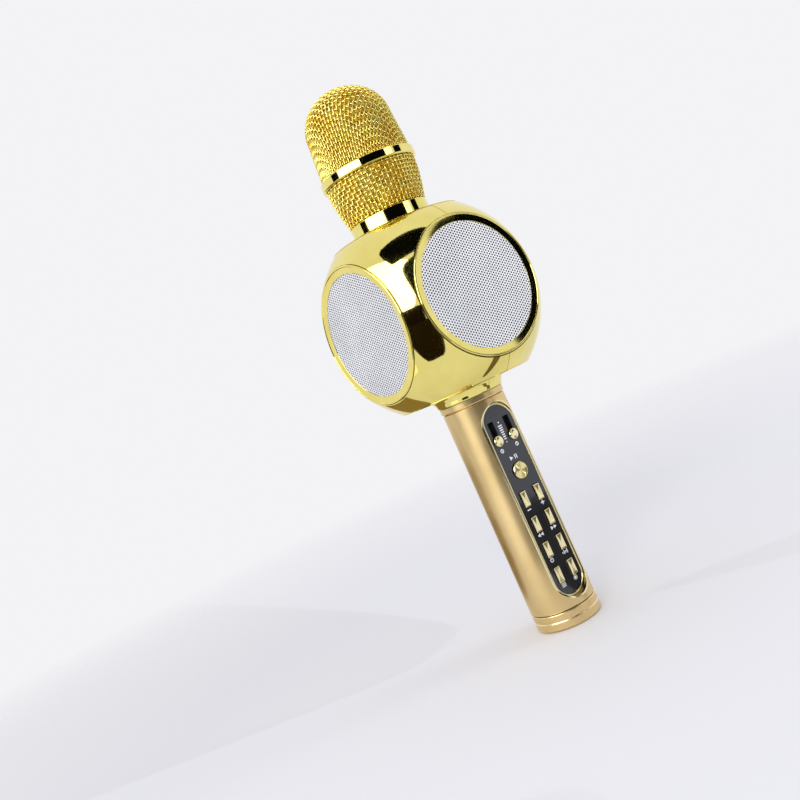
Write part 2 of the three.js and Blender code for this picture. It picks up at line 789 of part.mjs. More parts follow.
// Pressed basket of a driver, its front flange behind the ball's port.
function driverBasket() {
  const flangeBack = DRIVER_FRONT - DRIVER_FLANGE_THICK;
  const wall = 1;
  const waist = MAGNET_R - 2;
  return turned([
    [waist, BASKET_BACK],
    [waist + 3, BASKET_BACK],
    [CONE_R + 2, flangeBack],
    [DRIVER_FLANGE_R, flangeBack],
    [DRIVER_FLANGE_R, DRIVER_FRONT],
    [CONE_R + 1, DRIVER_FRONT],
    [CONE_R + 1, flangeBack - wall],
    [waist + 3, BASKET_BACK + 2 * wall],
    [waist, BASKET_BACK + 2 * wall],
  ], INNER_STEPS);
}

// Speaker cone with its rolled surround and a domed dust cap.
function driverCone() {
  const rim = DRIVER_FRONT - 1.2;
  const deep = rim - CONE_DEPTH;
  const skin = 0.6;
  return turned([
    [0, deep + 0.6],
    [DUST_CAP_R, deep - skin],
    [CONE_R - SURROUND_W, rim - skin],
    [CONE_R - SURROUND_W / 2, rim - skin + 0.8],
    [CONE_R, rim - skin],
    [CONE_R + 0.5, rim - skin],
    [CONE_R + 0.5, rim],
    [CONE_R, rim],
    [CONE_R - SURROUND_W / 2, rim + 0.8],
    [CONE_R - SURROUND_W, rim],
    [DUST_CAP_R, deep],
    [DUST_CAP_R * 0.6, deep + 2],
    [0, deep + 3],
  ], INNER_STEPS);
}

function driverMagnet() {
  const front = BASKET_BACK - FINE_GAP;
  return turned(
    [
      [0, front - MAGNET_DEPTH],
      [MAGNET_R - 0.5, front - MAGNET_DEPTH],
      [MAGNET_R, front - MAGNET_DEPTH + 0.5],
      [MAGNET_R, front],
      [0, front],
    ],
    INNER_STEPS,
  );
}

// Passive diaphragm: flange, rolled surround and a flat weighted disc.
function passiveDiaphragm() {
  const back = DRIVER_FRONT - DRIVER_FLANGE_THICK;
  const skin = 0.8;
  return turned([
    [0, back - WEIGHT_DEPTH],
    [WEIGHT_R, back - WEIGHT_DEPTH],
    [WEIGHT_R, back],
    [DRIVER_FLANGE_R, back],
    [DRIVER_FLANGE_R, DRIVER_FRONT],
    [CONE_R + 1, DRIVER_FRONT],
    [CONE_R, back + skin],
    [CONE_R - 2.5, back + skin + 1],
    [CONE_R - 6, back + skin],
    [0, back + skin],
  ], INNER_STEPS);
}

function shellScrew(y, z) {
  const head = bossRod(
    y,
    z,
    SHELL_SCREW_HEAD_R,
    SHELL_SCREW_HEAD_X,
    SHELL_SCREW_HEAD_X + SHELL_SCREW_HEAD_THICK,
  );
  const shank = bossRod(
    y,
    z,
    SHELL_SCREW_R,
    SHELL_SCREW_END_X,
    SHELL_SCREW_HEAD_X + 1,
  );
  return head.add(shank);
}

// Amplifier board across the middle of the ball, clear of all four drivers.
function amplifierBoard() {
  const half = 12;
  return block(
    [-BOARD_THICK / 2, -half, BALL_Z - half],
    [BOARD_THICK / 2, half, BALL_Z + half],
  );
}

function addHead() {
  const ball = wholeBall();
  addSolid("head_shell_left", ballHalf(ball, -1), POLISHED_GOLD);
  addSolid("head_shell_right", ballHalf(ball, 1), POLISHED_GOLD);
  const sides = ["front", "right", "back", "left"];
  sides.forEach((side, quarter) => {
    const place = (geometry) => geometry.applyMatrix4(sideMatrix(quarter));
    addMesh(`trim_ring_${side}`, place(trimRing()), POLISHED_GOLD);
    addMesh(`side_grille_${side}`, place(sideGrille()), PERFORATED);
    if (quarter % 2 === 1) {
      addMesh(`speaker_basket_${side}`, place(driverBasket()), STEEL);
      addMesh(`speaker_cone_${side}`, place(driverCone()), CONE_PAPER);
      addMesh(`speaker_magnet_${side}`, place(driverMagnet()), FERRITE);
    } else {
      const diaphragm = place(passiveDiaphragm());
      addMesh(`bass_diaphragm_${side}`, diaphragm, CONE_PAPER);
    }
  });
  addSolid("amplifier_board", amplifierBoard(), BOARD_GREEN);
  BOSS_PLACES.forEach(([y, z]) => {
    const name = `shell_screw_${z < 0 ? "lower" : "upper"}_${y < 0 ? "front" : "back"}`;
    addSolid(name, shellScrew(y, z), STEEL);
  });
}

// ----------------------------------------------------- microphone and grille
// Threaded socket in the crown of the ball; the grille's collar screws on it.
function grilleSocket() {
  const flangeTop = CROWN_Z - BALL_WALL - GAP;
  return turned([
    [SOCKET_BORE_R, flangeTop - SOCKET_FLANGE_THICK],
    [SOCKET_FLANGE_R, flangeTop - SOCKET_FLANGE_THICK],
    [SOCKET_FLANGE_R, flangeTop],
    [SOCKET_R, flangeTop],
    [SOCKET_R, SOCKET_TOP],
    [SOCKET_BORE_R, SOCKET_TOP],
  ], INNER_STEPS);
}

function grilleCollar() {
  const bore = SOCKET_R + GAP;
  return turned([
    [bore, GRILLE_COLLAR_BOTTOM],
    [GRILLE_COLLAR_R - FINE_EDGE, GRILLE_COLLAR_BOTTOM],
    [GRILLE_COLLAR_R, GRILLE_COLLAR_BOTTOM + FINE_EDGE],
    [GRILLE_COLLAR_R, GRILLE_COLLAR_TOP - FINE_EDGE],
    [GRILLE_COLLAR_R - FINE_EDGE, GRILLE_COLLAR_TOP],
    [bore, GRILLE_COLLAR_TOP],
  ]);
}

// Radius of the lower mesh basket at a height, swelling towards the band.
function lowerMeshRadius(z) {
  const low = GRILLE_COLLAR_R - 0.1;
  const share = (z - GRILLE_COLLAR_TOP) / (BAND_BOTTOM - GRILLE_COLLAR_TOP);
  return low + (LOWER_MESH_R_TOP - low) * Math.sin((share * Math.PI) / 2);
}

function lowerMeshLine(inset, low, high, steps) {
  return Array.from({ length: steps + 1 }, (_, i) => {
    const z = low + ((high - low) * i) / steps;
    return [lowerMeshRadius(z) - inset, z];
  });
}

// Band of a round skin between an outer and an inner line of points.
function skin(outer, inner) {
  return turned([...outer, ...inner.reverse()]);
}

function lowerMesh() {
  const low = GRILLE_COLLAR_TOP + FINE_GAP;
  const high = BAND_BOTTOM - FINE_GAP;
  return skin(
    lowerMeshLine(0, low, high, 4),
    lowerMeshLine(MESH_THICK, low, high, 4),
  );
}

function grilleBand() {
  return turned([
    [BAND_BORE_R, BAND_BOTTOM],
    [BAND_R - BAND_EDGE, BAND_BOTTOM],
    [BAND_R, BAND_BOTTOM + 0.5],
    [BAND_R, BAND_TOP - 0.5],
    [BAND_R - BAND_EDGE, BAND_TOP],
    [BAND_BORE_R, BAND_TOP],
  ]);
}

// Outline of the dome set in by a distance, from a given height to the axis.
function domeLine(inset, low) {
  const height = TOTAL_LENGTH - DOME_SHOULDER_Z - inset;
  return [
    [DOME_R_BOTTOM - inset, low],
    ...crown(DOME_SHOULDER_R - inset, DOME_SHOULDER_Z, height, 6),
  ];
}

function upperMesh() {
  const low = BAND_TOP + FINE_GAP;
  const inner = domeLine(MESH_THICK, low).reverse();
  return turned([...inner, ...domeLine(0, low)]);
}

// Foam liner inside the grille, open at the bottom over the capsule.
function foamWindscreen() {
  const outside = MESH_THICK + FOAM_CLEAR;
  const inside = outside + FOAM_THICK;
  const low = GRILLE_COLLAR_TOP + 2;
  const joint = BAND_TOP + 4;
  const line = (inset) => [
    ...lowerMeshLine(inset, low, BAND_BOTTOM, 2),
    ...domeLine(inset, joint),
  ];
  return turned([...line(inside).reverse(), ...line(outside)], INNER_STEPS);
}

function microphoneCapsule() {
  return turned(
    [
      [0, CAPSULE_BOTTOM],
      [CAPSULE_R - 2, CAPSULE_BOTTOM],
      [CAPSULE_R, CAPSULE_BOTTOM + 2],
      [CAPSULE_R, CAPSULE_TOP - 4],
      [CAPSULE_R - 1, CAPSULE_TOP - 4],
      [CAPSULE_R - 1, CAPSULE_TOP - 1],
      [CAPSULE_R - 2, CAPSULE_TOP],
      [0, CAPSULE_TOP],
    ],
    INNER_STEPS,
  );
}

// Rubber cup in the socket that carries the capsule.
function capsuleMount() {
  const bore = CAPSULE_R + GAP;
  return turned(
    [
      [MOUNT_HOLE_R, MOUNT_BOTTOM],
      [MOUNT_R, MOUNT_BOTTOM],
      [MOUNT_R, MOUNT_TOP],
      [bore, MOUNT_TOP],
      [bore, CAPSULE_BOTTOM - GAP],
      [MOUNT_HOLE_R, CAPSULE_BOTTOM - GAP],
    ],
    INNER_STEPS,
  );
}

function addMicrophone() {
  addMesh("grille_socket", grilleSocket(), BLACK_PLASTIC);
  addMesh("capsule_mount", capsuleMount(), SILICONE);
  addMesh("microphone_capsule", microphoneCapsule(), STEEL);
  const grille = new THREE.Group();
  grille.name = "wire_grille";
  microphone.add(grille);
  addMesh("grille_collar", grilleCollar(), POLISHED_GOLD, grille);
  addMesh("grille_lower_mesh", lowerMesh(), MESH_GOLD, grille);
  addMesh("grille_band", grilleBand(), POLISHED_GOLD, grille);
  addMesh("grille_upper_mesh", upperMesh(), MESH_GOLD, grille);
  addMesh("foam_windscreen", foamWindscreen(), FOAM, grille);
}

addHandle();
addHead();
addMicrophone();

export default microphone;
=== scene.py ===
"""Looks of the karaoke microphone: fine surfaces, woven and perforated metal, and materials."""

import math

import bmesh
import bpy
import numpy as np
from mathutils import Matrix, Vector


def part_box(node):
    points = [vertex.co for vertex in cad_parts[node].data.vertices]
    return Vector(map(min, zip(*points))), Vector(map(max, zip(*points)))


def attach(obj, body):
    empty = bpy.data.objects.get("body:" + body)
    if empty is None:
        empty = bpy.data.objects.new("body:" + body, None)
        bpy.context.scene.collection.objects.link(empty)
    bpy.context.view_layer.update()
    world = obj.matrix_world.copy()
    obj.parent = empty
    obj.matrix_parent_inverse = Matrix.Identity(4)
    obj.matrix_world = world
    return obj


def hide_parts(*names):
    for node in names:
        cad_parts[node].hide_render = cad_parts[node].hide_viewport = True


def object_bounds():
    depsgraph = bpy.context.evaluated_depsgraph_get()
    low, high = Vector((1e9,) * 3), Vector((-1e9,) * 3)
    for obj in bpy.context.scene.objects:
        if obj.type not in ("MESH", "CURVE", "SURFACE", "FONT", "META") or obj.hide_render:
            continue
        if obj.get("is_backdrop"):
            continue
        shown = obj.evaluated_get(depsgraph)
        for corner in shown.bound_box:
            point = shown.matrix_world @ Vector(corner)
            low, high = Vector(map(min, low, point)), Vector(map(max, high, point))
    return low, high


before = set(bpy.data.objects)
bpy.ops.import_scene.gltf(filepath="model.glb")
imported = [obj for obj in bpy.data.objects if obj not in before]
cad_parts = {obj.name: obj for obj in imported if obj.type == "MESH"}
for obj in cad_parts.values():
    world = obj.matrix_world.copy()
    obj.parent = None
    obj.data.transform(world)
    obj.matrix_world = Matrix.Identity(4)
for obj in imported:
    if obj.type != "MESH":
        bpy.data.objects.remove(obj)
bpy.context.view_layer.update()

MM = 0.001
BODY = "microphone_body"
GRILLE = "wire_grille"
MERGE = 2e-6  # points closer than this, in metres, become one


def box_mm(name):
    """Lowest and highest corner of a solid at rest, in millimetres."""
    low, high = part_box(name)
    return np.array(low) / MM, np.array(high) / MM


def middle_mm(name):
    """Middle of a solid's box at rest, in millimetres."""
    low, high = box_mm(name)
    return (low + high) / 2


# Places in millimetres, all taken from the solids.
SHELL_LOW, SHELL_HIGH = box_mm("head_shell_right")
RING_LOW, RING_HIGH = box_mm("trim_ring_right")
TUBE_MIN, TUBE_MAX = box_mm("handle_tube")
PLATE_MIN, PLATE_MAX = box_mm("panel_plate")
BALL_Z = (RING_HIGH[2] + RING_LOW[2]) / 2  # height of the ball's centre
FLAT = SHELL_HIGH[0]  # distance of a side flat from the axis
NECK_Z, CROWN_Z = SHELL_LOW[2], SHELL_HIGH[2]  # foot of the ball's neck, and its level top
RING_R = (RING_HIGH[2] - RING_LOW[2]) / 2
RING_CREST, RING_BACK = RING_HIGH[0], RING_LOW[0]  # a trim ring's front and back, from the axis
SHEET_FACE = -box_mm("side_grille_front")[0][1]  # front of a punched sheet, from the axis
TUBE_LOW, TUBE_HIGH = TUBE_MIN[2], TUBE_MAX[2]
COLLAR_LOW = box_mm("neck_collar")[0][2]
PANEL_FRONT = -PLATE_MIN[1]
PANEL_Z = (PLATE_MIN[2] + PLATE_MAX[2]) / 2
CHARGE_Z = middle_mm("charge_socket")[2]
SOCKET_LOW, SOCKET_HIGH = [corner[2] for corner in box_mm("grille_socket")]
GRILLE_COLLAR_LOW, GRILLE_COLLAR_HIGH = [corner[2] for corner in box_mm("grille_collar")]
BAND_LOW, BAND_HIGH = [corner[2] for corner in box_mm("grille_band")]
DOME_TOP = box_mm("grille_upper_mesh")[1][2]

# Sizes in millimetres that the boxes don't give.
BALL_R = 52.0
CHIN_Z = NECK_Z + 4.7  # where the ball ends and its neck begins
CROWN_BORE, NECK_BORE, WALL = 17.6, 14.0, 2.4  # openings above and below, and the ball's wall
SEAM = 0.1  # half the gap between the two halves of the ball
POCKET_R = RING_R + 0.2  # of the pocket that a trim ring sits in
RING_BORE, PORT_R = 29.4, 26.5  # inside of a trim ring, and the opening behind it
TUBE_R_LOW, TUBE_R_HIGH, TUBE_WALL = TUBE_MAX[0], 15.6, 1.5
TUBE_EDGE = 0.4  # chamfer at the tube's two ends
WINDOW_W, WINDOW_L = 9.75, 48.8  # half sizes of the tube's window
STRAIGHT = WINDOW_L - WINDOW_W  # half of the window's straight length
CHARGE_W, CHARGE_H = 4.05, 1.7  # half sizes of the charging hole


# ------------------------------------------------------------------ mesh code
def make_piece(name, blocks, finish, body, replaces=(), crease=35.0, bright=None):
    """A mesh object from blocks of (points, quads), its doubles merged and its faces turned outward.

    bright is a second material, with the ranges of height whose faces take it.
    """
    points, quads, base = [], [], 0
    for block_points, block_quads in blocks:
        flat = np.asarray(block_points, float).reshape(-1, 3)
        points.append(flat)
        quads.append(np.asarray(block_quads, int).reshape(-1, 4) + base)
        base += len(flat)
    points, quads = np.concatenate(points) * MM, np.concatenate(quads)
    mesh = bpy.data.meshes.new(name)
    mesh.vertices.add(len(points))
    mesh.vertices.foreach_set("co", points.ravel())
    mesh.loops.add(quads.size)
    mesh.loops.foreach_set("vertex_index", quads.ravel())
    mesh.polygons.add(len(quads))
    mesh.polygons.foreach_set("loop_start", np.arange(0, quads.size, 4))
    mesh.update(calc_edges=True)
    work = bmesh.new()
    work.from_mesh(mesh)
    bmesh.ops.remove_doubles(work, verts=work.verts, dist=MERGE)
    bmesh.ops.recalc_face_normals(work, faces=work.faces)
    work.to_mesh(mesh)
    work.free()
    mesh.polygons.foreach_set("use_smooth", np.ones(len(mesh.polygons), bool))
    mesh.set_sharp_from_angle(angle=math.radians(crease))
    mesh.materials.append(finish)
    piece = bpy.data.objects.new(name, mesh)
    bpy.context.collection.objects.link(piece)
    if bright:
        second, ranges = bright
        mesh.materials.append(second)
        middles = np.empty(len(mesh.polygons) * 3)
        mesh.polygons.foreach_get("center", middles)
        height = middles[2::3] / MM
        chosen = np.zeros(len(height), bool)
        for low, high in ranges:
            chosen |= (height > low) & (height < high)
        mesh.polygons.foreach_set("material_index", chosen.astype(np.int32))
    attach(piece, body)
    if replaces:
        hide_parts(*replaces)
    return piece


def grid(points, wrap_u=False, wrap_v=False):
    """Points (u, v, 3) with the quads between; wrap joins the last row or column to the first one."""
    nu, nv = points.shape[:2]
    u = np.arange(nu if wrap_u else nu - 1)[:, None]
    v = np.arange(nv if wrap_v else nv - 1)[None, :]
    u1, v1 = (u + 1) % nu, (v + 1) % nv
    corners = [u * nv + v, u1 * nv + v, u1 * nv + v1, u * nv + v1]
    return points, np.stack(np.broadcast_arrays(*corners), -1).reshape(-1, 4)


def soften(line, radius=0.25, closed=True):
    """A polyline with each corner drawn as a small quadratic curve, whose middle handle is the corner itself.

    A point on each side of a curve, 1.7 times as far out, keeps the straight parts flat.
    """
    line = np.asarray(line, float)
    before, after = np.roll(line, 1, 0), np.roll(line, -1, 0)
    to_before, to_after = before - line, after - line
    room = np.minimum(np.linalg.norm(to_before, axis=1), np.linalg.norm(to_after, axis=1))
    step = np.minimum(radius, room * 0.28)[:, None]  # so that two curves and their points fit on a short side
    to_before /= np.maximum(np.linalg.norm(to_before, axis=1), 1e-9)[:, None]
    to_after /= np.maximum(np.linalg.norm(to_after, axis=1), 1e-9)[:, None]
    start, end = line + to_before * step, line + to_after * step
    t = np.linspace(0, 1, 5)[None, :, None]
    curve = start[:, None] * (1 - t) ** 2 + 2 * line[:, None] * t * (1 - t) + end[:, None] * t**2
    hold_in = (line + to_before * step * 1.7)[:, None]
    hold_out = (line + to_after * step * 1.7)[:, None]
    rows = np.concatenate([hold_in, curve, hold_out], 1)
    if closed:
        return rows.reshape(-1, 2)
    return np.concatenate([line[:1], rows[1:-1].reshape(-1, 2), line[-1:]])


def revolve(line, steps=128, sweep=(0.0, 2 * math.pi)):
    """Each (radius, height) point of a line swept about +Z: radius times cosine and sine, and the height.

    A full turn is closed and a part turn is left open.
    """
    line = np.asarray(line, float)
    whole = abs(sweep[1] - sweep[0] - 2 * math.pi) < 1e-9
    angle = np.linspace(sweep[0], sweep[1], steps + 1)[: steps if whole else steps + 1][:, None]
    r, z = line[None, :, 0], line[None, :, 1]
    return np.stack([r * np.cos(angle), r * np.sin(angle), z + 0 * angle], -1), whole


def lathe(line, steps=128, closed=True, place=None, sweep=(0.0, 2 * math.pi)):
    """A turned block: a line swept about +Z, then moved by a function of its points."""
    points, whole = revolve(line, steps, sweep)
    points = place(points) if place else points
    return grid(points, wrap_u=whole, wrap_v=closed)


def facing(quarter, z=BALL_Z):
    """Moves points drawn about +Z to face -Y, +X, +Y or -X for quarter 0 to 3, centred at height z."""
    c, s = math.cos(quarter * math.pi / 2), math.sin(quarter * math.pi / 2)

    def move(p):
        x, y, up = p[..., 0], -p[..., 2], p[..., 1]
        return np.stack([c * x - s * y, s * x + c * y, up + z], -1)

    return move


def at_panel(x, z):
    """Moves points drawn about +Z to face -Y at a place on the panel."""
    turn = facing(0, z)
    return lambda p: turn(p) + np.array([x, 0, 0])


def rounded_loop(half_w, half_l, corner, steps=8):
    """Points round a rectangle with round corners; each corner is a quarter circle."""
    quarter = np.linspace(0, math.pi / 2, steps)
    angle = np.concatenate([quarter + k * math.pi / 2 for k in range(4)])
    cx = np.repeat([1, -1, -1, 1], steps) * (half_w - corner)
    cz = np.repeat([1, 1, -1, -1], steps) * (half_l - corner)
    return np.stack([cx + corner * np.cos(angle), cz + corner * np.sin(angle)], -1)


def panel_loops(rows, corner_of, centre=(0.0, 0.0), steps=8):
    """Loops parallel to the panel from rows of (half width, half length, distance forward of the axis)."""
    loops = []
    for half_w, half_l, forward in rows:
        loop = rounded_loop(half_w, half_l, corner_of(half_w, half_l), steps)
        depth = np.full(len(loop), -forward)
        loops.append(np.stack([loop[:, 0] + centre[0], depth, loop[:, 1] + centre[1]], -1))
    return grid(np.stack(loops), wrap_v=True)


# ------------------------------------------------------------------ materials
def linear(hex_colour):
    """An sRGB hex colour as linear red, green, blue and one for alpha."""
    parts = [int(hex_colour[i : i + 2], 16) / 255 for i in (1, 3, 5)]
    return [c / 12.92 if c <= 0.04045 else ((c + 0.055) / 1.055) ** 2.4 for c in parts] + [1.0]


def node(tree, kind, links=(), **settings):
    """Adds a node, sets its properties or input values by name, and links (output, input) pairs into it."""
    made = tree.nodes.new(kind)
    for key, value in settings.items():
        name = key.replace("_", " ")
        match = [s for s in made.inputs if s.name.lower() == name.lower()]
        if match and not hasattr(made, key):
            match[0].default_value = value
        else:
            setattr(made, key, value)
    for output, place in links:
        tree.links.new(output, made.inputs[place])
    return made


def material(name, colour, metallic, rough, grain_mm=0.5, stretch=(1, 1, 1), tint=0.06,
             rough_swing=0.06, bump_mm=0.004, cloud_mm=18.0, coat=0.0, dark=None):
    """A surface with grain at a real size: fine noise times broad noise, plus the broad noise again.

    The sum tints the colour and swings the roughness, and the fine noise lifts the surface.
    """
    made = bpy.data.materials.new(name)
    made.use_nodes = True
    tree = made.node_tree
    shader = tree.nodes["Principled BSDF"]
    place = node(tree, "ShaderNodeTexCoord")
    mapped = node(tree, "ShaderNodeMapping", [(place.outputs["Object"], "Vector")], Scale=stretch)
    grain = node(tree, "ShaderNodeTexNoise", [(mapped.outputs[0], "Vector")],
                 Scale=1 / (grain_mm * MM), Detail=3.0)
    cloud = node(tree, "ShaderNodeTexNoise", [(place.outputs["Object"], "Vector")],
                 Scale=1 / (cloud_mm * MM), Detail=4.0)
    both = node(tree, "ShaderNodeMath", [(grain.outputs[0], 0), (cloud.outputs[0], 1), (cloud.outputs[0], 2)],
                operation="MULTIPLY_ADD")
    shade = node(tree, "ShaderNodeMapRange", [(both.outputs[0], 0)], From_Min=0.45, From_Max=1.05)
    mix = node(tree, "ShaderNodeMix", [(shade.outputs[0], 0)], data_type="RGBA")
    light = linear(colour)
    deep = linear(dark) if dark else [c * (1 - 2.2 * tint) for c in light[:3]] + [1.0]
    mix.inputs[6].default_value = deep
    mix.inputs[7].default_value = [min(1.0, c * (1 + tint)) for c in light[:3]] + [1.0]
    tree.links.new(mix.outputs[2], shader.inputs["Base Color"])
    swing = node(tree, "ShaderNodeMapRange", [(both.outputs[0], 0)], From_Min=0.4, From_Max=1.1,
                 To_Min=max(0.02, rough - rough_swing), To_Max=rough + rough_swing)
    tree.links.new(swing.outputs[0], shader.inputs["Roughness"])
    if bump_mm:
        lift = node(tree, "ShaderNodeBump", [(grain.outputs[0], "Height")],
                    Strength=1.0, Distance=bump_mm * MM)
        tree.links.new(lift.outputs[0], shader.inputs["Normal"])
    shader.inputs["Metallic"].default_value = metallic
    shader.inputs["Coat Weight"].default_value = coat
    shader.inputs["Coat Roughness"].default_value = 0.03
    return made


# Vacuum-metallised ABS: a mirror of pale yellow gold with the faint waviness of moulded plastic under it.
GOLD_MIRROR = material("vacuum_metallised_abs", "#f4e68a", 1.0, 0.06, grain_mm=6.0, tint=0.03,
                       rough_swing=0.02, bump_mm=0.004, dark="#ebdb7c")
# Bright-cut gold anodised aluminium: the turned edges and grooves, sharper and warmer than the tube.
GOLD_CUT = material("bright_cut_anodised_aluminium", "#f6e0aa", 1.0, 0.28, grain_mm=0.12,
                    stretch=(1, 1, 6), tint=0.04, rough_swing=0.04, bump_mm=0.001)
# Satin champagne-gold anodised aluminium: bead-blasted, a soft sheen with a fine even grain.
GOLD_SATIN = material("satin_anodised_aluminium", "#e4ca94", 1.0, 0.32, grain_mm=0.18, tint=0.05,
                      rough_swing=0.05, bump_mm=0.0035, cloud_mm=30.0, dark="#d9bd82")
# Polished pale gold of the keys and knobs, a touch softer than the plated ball.
GOLD_KEY = material("polished_pale_gold", "#fbf0bc", 1.0, 0.15, grain_mm=0.8, tint=0.04,
                    rough_swing=0.03, bump_mm=0.002)
# Lathe-turned gold cap: bright and sharp, so that its turned rings draw highlights into two wedges.
GOLD_SPUN = material("turned_gold_cap", "#f6e6a4", 1.0, 0.14, grain_mm=0.4, tint=0.04, bump_mm=0.001)
# Gold-lacquered woven steel wire: rich yellow, shiny on the crowns of the crimps.
GOLD_WIRE = material("lacquered_woven_wire", "#ffe98a", 1.0, 0.2, grain_mm=0.5, tint=0.12, rough_swing=0.1,
                     bump_mm=0.006, cloud_mm=9.0, dark="#efcc55")
# Fine gold gauze behind the wire: seen only through the openings, a duller yellow gold with darker patches.
GOLD_GAUZE = material("gold_gauze_liner", "#ecc93f", 0.3, 0.4, grain_mm=0.55, tint=0.2, rough_swing=0.15,
                      bump_mm=0.15, cloud_mm=4.0, dark="#a27c1c")
# Punched aluminium sheet, silver-white lacquer: even and slightly pearly.
PERFORATED = material("lacquered_perforated_sheet", "#f4f5f8", 0.1, 0.4, grain_mm=0.3, tint=0.04,
                      rough_swing=0.06, bump_mm=0.002)
# Gloss black ABS with a hard coat: dark slate blue with clear reflections.
PANEL = material("gloss_black_abs", "#1b1f27", 0.0, 0.1, grain_mm=0.4, tint=0.25, rough_swing=0.05,
                 bump_mm=0.001, coat=0.6)
# Silk-screened white ink: matt and slightly uneven.
INK = material("white_screen_ink", "#e9ebf2", 0.0, 0.55, grain_mm=0.12, tint=0.06, bump_mm=0.002)
# Moulded black ABS: matt, with the fine even texture of the mould.
BLACK_ABS = material("moulded_black_abs", "#141416", 0.0, 0.48, grain_mm=0.35, tint=0.2, bump_mm=0.01)
# Pressed paper pulp of the cones and diaphragms: quite dull, with a felted surface.
PULP = material("pressed_paper_pulp", "#1b1b1c", 0.0, 0.85, grain_mm=0.7, tint=0.35, bump_mm=0.05)
# Sintered ferrite of the magnets: dark grey and stony.
FERRITE = material("sintered_ferrite", "#37373a", 0.2, 0.6, grain_mm=0.4, tint=0.2, bump_mm=0.02)
# Solder-masked laminate of the circuit boards: glossy green over a woven core.
LAMINATE = material("solder_masked_laminate", "#1c5b39", 0.0, 0.35, grain_mm=1.1, stretch=(1, 1, 3),
                    tint=0.2, bump_mm=0.02, coat=0.4)
# Zinc-plated steel of screws and socket: cool grey with a soft shine.
ZINC = material("zinc_plated_steel", "#b9bcc2", 1.0, 0.28, grain_mm=0.3, tint=0.08, bump_mm=0.002)
# Shrink wrap round the cell: glossy blue, drawn lengthwise.
WRAP = material("pvc_shrink_wrap", "#2c6bb0", 0.0, 0.3, grain_mm=2.5, stretch=(1, 1, 0.3), tint=0.1,
                bump_mm=0.02)
# Moulded silicone of the key mat and the capsule's mount: soft grey with a dusty sheen.
SILICONE = material("moulded_silicone", "#85878b", 0.0, 0.62, grain_mm=0.4, tint=0.08, bump_mm=0.01)
# Open-cell foam inside the wire: almost black, with deep small pores.
FOAM = material("open_cell_foam", "#17140e", 0.0, 1.0, grain_mm=0.6, tint=0.6, bump_mm=0.3)
# A fine, matt, near-black sheet behind the punched sheets: painted shade for the dark inside of the ball, so
# that the holes read as dots.
SHADE_SHEET = material("painted_shade_sheet", "#0f0f11", 0.0, 0.95, grain_mm=0.25, tint=0.3, bump_mm=0.04)
# Pressed steel of the speaker baskets, painted near-black as shade, so that it is dark behind the holes.
SHADE_STEEL = material("steel_painted_dark_as_shade", "#17171a", 0.3, 0.45, grain_mm=0.5, tint=0.2, bump_mm=0.01)


def paint(names, made):
    """Gives solids carried over from the frame their material."""
    for name in names:
        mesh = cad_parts[name].data
        mesh.materials.clear()
        mesh.materials.append(made)


nodes = list(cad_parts)
paint(["panel_frame"], GOLD_CUT)
paint(["panel_plate"], PANEL)
paint(["slide_pot_left", "slide_pot_right", "battery_cradle"], BLACK_ABS)
paint(["key_membrane"], SILICONE)
paint(["control_board", "charge_board", "amplifier_board"], LAMINATE)
paint(["battery_cell"], WRAP)
paint(["charge_socket"] + [n for n in nodes if "screw" in n], ZINC)
# Painted shade: the speaker baskets are made near-black so that the inside behind the grilles reads dark.
paint([n for n in nodes if "basket" in n], SHADE_STEEL)
paint([n for n in nodes if "magnet" in n], FERRITE)
paint([n for n in nodes if "cone" in n or "diaphragm" in n], PULP)


# --------------------------------------------------------- ball-shaped head
DISC_R = math.sqrt(BALL_R**2 - FLAT**2)  # of the flat that a disc sits in
DISC = math.atan2(DISC_R, FLAT)  # angle from a disc's axis to the edge of its flat
ROLL_OVER = 0.012  # the ball's skin stops this much short, in radians, of its crown and its chin
SKIN_TOP = math.asin((CROWN_Z - BALL_Z) / BALL_R) - ROLL_OVER
SKIN_LOW = math.asin((CHIN_Z - BALL_Z) / BALL_R) + ROLL_OVER
EDGE_STEPS = 64  # points along half of a disc's edge
LIP = 0.9  # depth of the seam's lip


def half_columns():
    """Azimuths from the front seam to the back seam, and the elevation at which the skin starts there.

    A disc's edge is a circle on the ball. At angle psi round it the tangent of the azimuth is
    tan(DISC) cos(psi) and the sine of the elevation is sin(DISC) sin(psi). Between two discs the skin starts
    at the equator.
    """
    first = np.linspace(math.pi / 2, 0, EDGE_STEPS // 2 + 1)
    full = np.linspace(math.pi, 0, EDGE_STEPS + 1)
    last = full[: EDGE_STEPS // 2 + 1]
    gap = np.linspace(DISC, math.pi / 2 - DISC, 8)[1:-1]
    edges = [np.arctan(math.tan(DISC) * np.cos(psi)) for psi in (first, full, last)]
    rises = [np.arcsin(math.sin(DISC) * np.sin(psi)) for psi in (first, full, last)]
    azimuth = [edges[0], gap, math.pi / 2 + edges[1], math.pi / 2 + gap, math.pi + edges[2]]
    start = [rises[0], 0 * gap, rises[1], 0 * gap, rises[2]]
    return np.concatenate(azimuth), np.concatenate(start)


